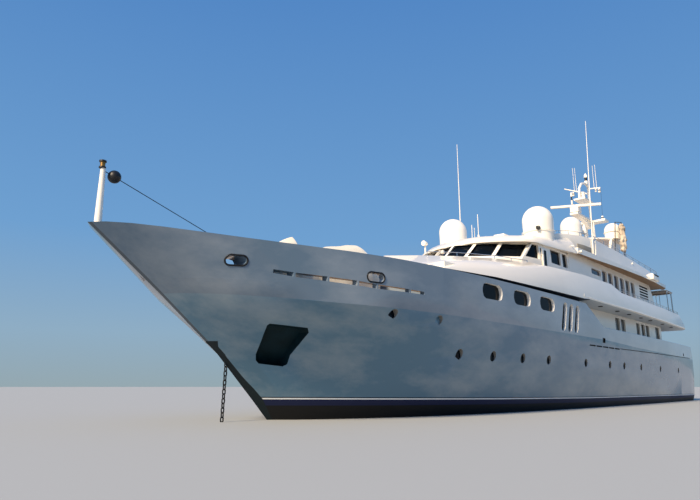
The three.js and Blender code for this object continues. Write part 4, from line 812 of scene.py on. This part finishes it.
stay_foot = ship(STAY_END, 0, 4.11)
ball_middle = stay_top.lerp(stay_foot, (BALL_AFT - STAY_START) / (STAY_END - STAY_START))
BALL_RADIUS = 0.0925
ball_rings = [(BALL_RADIUS * math.cos(turn), ball_middle.z + BALL_RADIUS * math.sin(turn))
              for turn in [math.radians(-88 + 176 * i / 16) for i in range(17)]]
mount(turned("anchor_ball", ball_middle, ball_rings, 24), black_plastic)
tubes("bow_stay", [([stay_top, stay_foot], 0.006)], galvanised)

# The anchor chain hangs from the stem hawse: forged links, galvanised, turned a quarter from one to
# the next. The anchor hangs under water with its two flukes up beside the shank.
CHAIN_TOP = ship(4.8, 0, 1.74)
CHAIN_FOOT = ship(4.7, 0, -0.9)
LINK_PITCH = 0.064
LINK_RADIUS = 0.024
LINK_WIRE = 0.0105
LINK_STRETCH = 0.016
bpy.ops.object.select_all(action="DESELECT")
bpy.ops.mesh.primitive_torus_add(major_segments=16, minor_segments=8, major_radius=LINK_RADIUS,
                                 minor_radius=LINK_WIRE, location=CHAIN_TOP, rotation=(math.pi / 2, 0, 0))
first_link = bpy.context.object
bpy.ops.object.transform_apply(location=False, rotation=True, scale=False)
for vertex in first_link.data.vertices:
    vertex.co.z += math.copysign(LINK_STRETCH, vertex.co.z)
links = [first_link]
count = int((CHAIN_TOP - CHAIN_FOOT).length / LINK_PITCH)
for step in range(1, count):
    link = first_link.copy()
    link.data = first_link.data.copy()
    link.location = CHAIN_TOP.lerp(CHAIN_FOOT, step / (count - 1))
    link.rotation_euler.z = math.pi / 2 * (step % 2)
    bpy.context.collection.objects.link(link)
    links.append(link)
shank = box_between("shank", ship(4.64, 0.06, -1.85), ship(4.76, -0.06, -0.85), 0.012)
crown = box_between("crown", ship(4.58, 0.42, -1.85), ship(4.82, -0.42, -1.68), 0.02)
flukes = [box_between("fluke", ship(4.64, mirror * 0.3, -1.8), ship(4.76, mirror * 0.38, -1.15), 0.012)
          for mirror in (1, -1)]
chain = joined(links + [shank, crown] + flukes)
chain.name = "anchor_chain_links"
bpy.ops.object.transform_apply()
smooth(chain, 40)
mount(chain, galvanised)
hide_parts("anchor_chain")

# Small gear on the roofs: aerials, a small dome and a cone, a skylight, a camera, lamps and, on the
# sun deck's port side, an exhaust pod with a black slot. All but the slot are painted or gel-coated white.
# Aerials: place aft, side, foot and head, and radius in metres.
AERIALS = ((20.7, 0, 8.76, 9.57, 0.008), (20.97, 0, 8.76, 9.46, 0.008), (21.4, 0, 8.84, 9.15, 0.03),
           (21.4, 0, 9.1, 10.31, 0.009), (27.9, 3.45, 8.55, 9.95, 0.02))
aerial_runs = [([ship(aft, side, foot), ship(aft, side, head)], radius)
               for aft, side, foot, head, radius in AERIALS]
aerial_runs.append(([ship(24.9, 3.7, 8.6), ship(24.9, 3.86, 8.55)], 0.015))
tubes("roof_aerials", aerial_runs, white_paint)
small_dome = turned("roof_small_dome", ship(22.2, 0, 0), [
    (0.1, 4.38), (0.11, 4.5), (0.1, 4.55), (0.07, 4.59), (0.03, 4.605), (0.01, 4.608)], 24)
mount(small_dome, gel_coat)
cone = turned("side_cone", ship(27.9, 3.45, 0), [(0.04, 4.93), (0.065, 4.95), (0.065, 5.02), (0.04, 5.16),
                                                 (0.015, 5.23)], 20)
mount(cone, gel_coat)
for name, first, second, rounding in (
        ("roof_skylight", ship(21.4, 0.9, 8.8), ship(22.3, 1.5, 8.99), 0.012),
        ("coaming_camera", ship(14.96, 1.6, 6.78), ship(15.1, 1.74, 6.92), 0.012),
        ("side_lamp", ship(25.65, 3.84, 8.32), ship(25.85, 3.98, 8.44), 0.012),
        ("coaming_lamp", ship(34.65, 4.0, 9.02), ship(34.78, 4.1, 9.12), 0.012),
        ("exhaust_pod", ship(38.1, 3.95, 8.42), ship(39.7, 4.42, 8.86), 0.045)):
    finished_box(name, first, second, rounding, 4, 50, white_paint)
finished_box("exhaust_pod_slot", ship(38.35, 4.1, 8.72), ship(39.45, 4.45, 8.86), 0.03, 4, 50, black_plastic)

# A hoop of black pipe stands round the folded canopy, and thin stainless poles hold up the awning.
# Each wheelhouse door has a narrow window of tinted glass, which moves with the door.
HOOP = ((35.6, 8.55), (36.1, 10.2), (36.75, 12.62), (38.2, 12.9), (38.35, 8.55))
tubes("canopy_hoop", [([ship(aft, 2.62, up) for aft, up in HOOP], 0.016)], black_plastic)
POLES = ((45.22, 3.76, 8.5), (45.3, 2.65, 8.2), (44.9, 3.0, 8.2))
poles = [([ship(aft, mirror * side, 5.65), ship(aft, mirror * side, up)], 0.012)
         for aft, side, up in POLES for mirror in (1, -1)]
tubes("awning_poles", poles, stainless)
for mirror, name in SIDES:
    pane = box_between("wheelhouse_door_window_" + name, ship(21.78, mirror * 3.442, 6.95),
                       ship(22.06, mirror * 3.452, 7.85), 0.002)
    mount(pane, tinted_glass, "wheelhouse_door_" + name)


# The covers of the boats on the foredeck are acrylic canvas, cut and sewn to each boat.
# Each is stretched from gunwale to gunwale over a ridge and sags between, above its own boat.
def woven(name, dark, light):
    """Woven cloth. Threads half a millimetre apart would not show, so the weave is drawn 12 mm wide."""
    finish, tree, shader = new_finish(name)
    place = put_node(tree, "TexCoord").outputs["Object"]
    fade = put_node(tree, "TexNoise", {"Vector": place, "Scale": 3.0, "Detail": 5.0})
    tones = put_node(tree, "Mix", {"Factor": fade, "A": linear(dark), "B": linear(light)}, data_type="RGBA")
    warp, weft = [put_node(tree, "TexWave", {"Vector": place, "Scale": 26.0}, bands_direction=way)
                  for way in "XZ"]
    weave = put_node(tree, "Math", {0: warp.outputs["Fac"], 1: weft.outputs["Fac"]}, operation="MAXIMUM")
    relief = put_node(tree, "Bump", {"Height": weave, "Strength": 0.25, "Distance": 0.002})
    set_sockets(tree, shader, {"Base Color": tones, "Normal": relief, "Roughness": 0.85, "Sheen Weight": 0.3})
    return finish


def lofted(name, rows, closed):
    """A skin through rows of equally many points, smoothed by one subdivision."""
    count = len(rows[0])
    faces = []
    for r in range(len(rows) - 1):
        for i in range(count if closed else count - 1):
            j = (i + 1) % count
            faces.append((r * count + i, r * count + j, (r + 1) * count + j, (r + 1) * count + i))
    if closed:
        faces.append(tuple(range(count))[::-1])
        faces.append(tuple(range((len(rows) - 1) * count, len(rows) * count)))
    mesh = bpy.data.meshes.new(name)
    mesh.from_pydata([p for row in rows for p in row], [], faces)
    piece = bpy.data.objects.new(name, mesh)
    bpy.context.collection.objects.link(piece)
    take(piece)
    change_mesh(bpy.ops.mesh.normals_make_consistent, inside=False)
    apply_modifier(piece, "SUBSURF", levels=2, render_levels=2, boundary_smooth="PRESERVE_CORNERS")
    return piece


def crease_cloth(piece, depth, size, lean=(1, 1, 1)):
    """Pushes a cloth's points in and out a little, in folds of a size."""
    moved = [v.co + v.normal * depth * noise.noise(Vector([v.co[i] * lean[i] / size for i in range(3)]))
             for v in piece.data.vertices]
    for vertex, spot in zip(piece.data.vertices, moved):
        vertex.co = spot
    smooth(piece, 50)


cream_canvas = woven("cream_acrylic_canvas", "#d8cfba", "#ece5d3")
boat_gel_coat = weathered("boat_gel_coat", "#d9dcdd", "#eceeee", 0.5, (0.25, 0.35))
# Rows: place aft, half breadth, gunwale height and ridge height, in ship metres.
BOAT_COVERS = (
    ("covered_tender", 1.0,
     ((6.97, 0.05, 5.05, 5.33), (7.1, 0.3, 4.8, 5.62), (8.05, 0.74, 4.65, 5.97), (9.0, 0.88, 4.62, 6.19),
      (9.78, 0.91, 4.62, 6.38), (9.86, 0.91, 4.62, 6.38), (10.3, 0.84, 4.65, 6.12), (10.36, 0.82, 4.66, 6.05),
      (10.48, 0.68, 4.7, 5.6))),
    ("covered_craft", 1.55,
     ((3.97, 0.05, 4.4, 4.64), (4.1, 0.2, 4.36, 4.85), (5.0, 0.5, 4.35, 5.34), (5.8, 0.53, 4.35, 5.79),
      (6.04, 0.5, 4.35, 5.9), (6.06, 0.5, 4.35, 5.89), (6.1, 0.48, 4.35, 5.36), (6.13, 0.47, 4.35, 5.33),
      (6.68, 0.41, 4.35, 4.98))),
)
# Outlines of a cover and of a hull across the boat, as shares of the half breadth and rises or drops.
COVER_SECTION = ((-1, 0.0), (-1.0, 0.35), (-0.86, 0.62), (-0.5, 0.86), (-0.15, 0.985), (0.15, 0.985),
                 (0.5, 0.86), (0.86, 0.62), (1.0, 0.35), (1, 0.0))
HULL_SECTION = ((-1, 0), (-0.9, -0.3), (-0.3, -0.75), (0.3, -0.75), (0.9, -0.3), (1, 0))
for node, side, rows in BOAT_COVERS:
    cloth_rows = []
    hull_rows = []
    for aft, half, gunwale, ridge in rows:
        cloth_rows.append([ship(aft, side + half * across, gunwale - 0.2 + (ridge - gunwale + 0.2) * rise)
                           for across, rise in COVER_SECTION])
        hull_rows.append([ship(aft, side + half * across * 0.94, max(4.06, gunwale + drop))
                          for across, drop in HULL_SECTION])
    cover = lofted(node + "_cover", cloth_rows, closed=False)
    crease_cloth(cover, 0.02, 0.18, (0.5, 1.5, 1))
    mount(cover, cream_canvas)
    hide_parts(node)
    boat = lofted(node + "_boat", hull_rows, closed=True)
    smooth(boat, 40)
    mount(boat, boat_gel_coat)

# The awning over the aft upper deck is one sheet of brown canvas, laced tight to its frame.
# It sags a little between the pipes.
brown_canvas = woven("brown_acrylic_canvas", "#7d6247", "#96795a")
# Its outline: place aft and half breadth.
AWNING_OUTLINE = ((43.2, 3.96), (45.3, 3.91), (45.85, 3.58), (45.98, 3.08))
AWNING_START, AWNING_END, AWNING_HEIGHT = 43.22, 45.97, 8.33
SAG_START, SAG_LENGTH, SAG_DEPTH = 43.2, 1.8, 0.024
LENGTH_STEPS = 20
ACROSS_STEPS = 24
across_shares = [2 * i / ACROSS_STEPS - 1 for i in range(ACROSS_STEPS + 1)]
awning_rows = []
for step in range(LENGTH_STEPS + 1):
    aft = AWNING_START + (AWNING_END - AWNING_START) * step / LENGTH_STEPS
    half = next((a[1] + (b[1] - a[1]) * (aft - a[0]) / (b[0] - a[0])
                 for a, b in zip(AWNING_OUTLINE, AWNING_OUTLINE[1:]) if aft <= b[0]), 3.08)
    sag = SAG_DEPTH * math.sin(math.pi * min(1, (aft - SAG_START) / SAG_LENGTH))
    awning_rows.append([ship(aft, half * across, AWNING_HEIGHT - sag * (1 - across ** 2))
                        for across in across_shares])
awning = lofted("aft_awning_cloth", awning_rows, closed=False)
smooth(awning, 50)
mount(awning, brown_canvas)
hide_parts("aft_awning")

# A folded canopy of tan canvas is lashed upright to two pipes beside the hardtop. It bulges above and
# below two waists, where the cord is drawn tight. The cord itself isn't modelled.
# Its mottling from brown to cream is partly painted shade and painted highlight of the folds.
tan_cloth_with_painted_folds = woven("tan_acrylic_painted_fold_light", "#8a6c46", "#f0e4cd")
# Rows: height, half length and half breadth.
BUNDLE_ROWS = ((10.56, 0.16, 0.06), (10.64, 0.3, 0.15), (10.85, 0.34, 0.2), (11.08, 0.28, 0.15),
               (11.35, 0.36, 0.21), (11.6, 0.36, 0.2), (11.85, 0.29, 0.16), (12.1, 0.35, 0.2),
               (12.38, 0.31, 0.18), (12.57, 0.24, 0.13), (12.68, 0.11, 0.06))
BUNDLE_AFT, BUNDLE_SIDE, BUNDLE_CORNERS = 37.75, 2.76, 16
bundle_turns = [math.tau * i / BUNDLE_CORNERS for i in range(BUNDLE_CORNERS)]
bundle = lofted("lashed_bundle_canopy", [
    [ship(BUNDLE_AFT + half * math.cos(turn), BUNDLE_SIDE + deep * math.sin(turn), up)
     for turn in bundle_turns] for up, half, deep in BUNDLE_ROWS], closed=True)
crease_cloth(bundle, 0.06, 0.08, (1, 1, 0.8))
mount(bundle, tan_cloth_with_painted_folds)
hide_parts("lashed_bundle")

tubes("lashed_bundle_pipes", [([ship(aft, 2.77, 8.562), ship(aft, 2.77, 10.9)], 0.0175)
                              for aft in (37.55, 37.95)], stainless)

# The studio: a pale floor at the waterline, and soft light.
# A low warm key light stands ahead of the bow, and a backdrop that deepens upwards fills in.
FLOOR_PALE = "#a6a9a8"
FLOOR_WIDTH = 3000
KEY_WARM = "#ffe8c9"
KEY_FROM = Vector((0.85, 0.03, 0.62))
SKY_TONES = ((0.0, "#95a8b0"), (0.14, "#8fadc4"), (0.4, "#6fa0d0"), (1.0, "#5286c4"))
SKY_TOP = 0.6
floor_paint, tree, shader = new_finish("studio_floor")
set_sockets(tree, shader, {"Base Color": linear(FLOOR_PALE), "Roughness": 0.8})
bpy.ops.object.select_all(action="DESELECT")
bpy.ops.mesh.primitive_plane_add(size=FLOOR_WIDTH, location=(0, 0, 0))
floor = bpy.context.object
floor.name = "studio_floor"
floor.data.materials.append(floor_paint)
world = bpy.data.worlds.new("soft_studio")
world.use_nodes = True
backdrop = world.node_tree
way = put_node(backdrop, "TexCoord").outputs["Generated"]
height = put_node(backdrop, "SeparateXYZ", {"Vector": way}).outputs["Z"]
rise = put_node(backdrop, "MapRange", {"Value": height, "From Max": SKY_TOP})
shade = put_node(backdrop, "ValToRGB", {"Fac": rise})
set_tones(shade, SKY_TONES)
set_sockets(backdrop, backdrop.nodes["Background"], {"Color": shade})
bpy.context.scene.world = world
bpy.ops.object.light_add(type="SUN", rotation=KEY_FROM.to_track_quat("Z", "Y").to_euler())
key = bpy.context.object
key.name = "key_light"
key.data.energy = 6.3
key.data.angle = math.radians(12)
key.data.color = linear(KEY_WARM)[:3]

bpy.context.scene.view_settings.view_transform = "Standard"
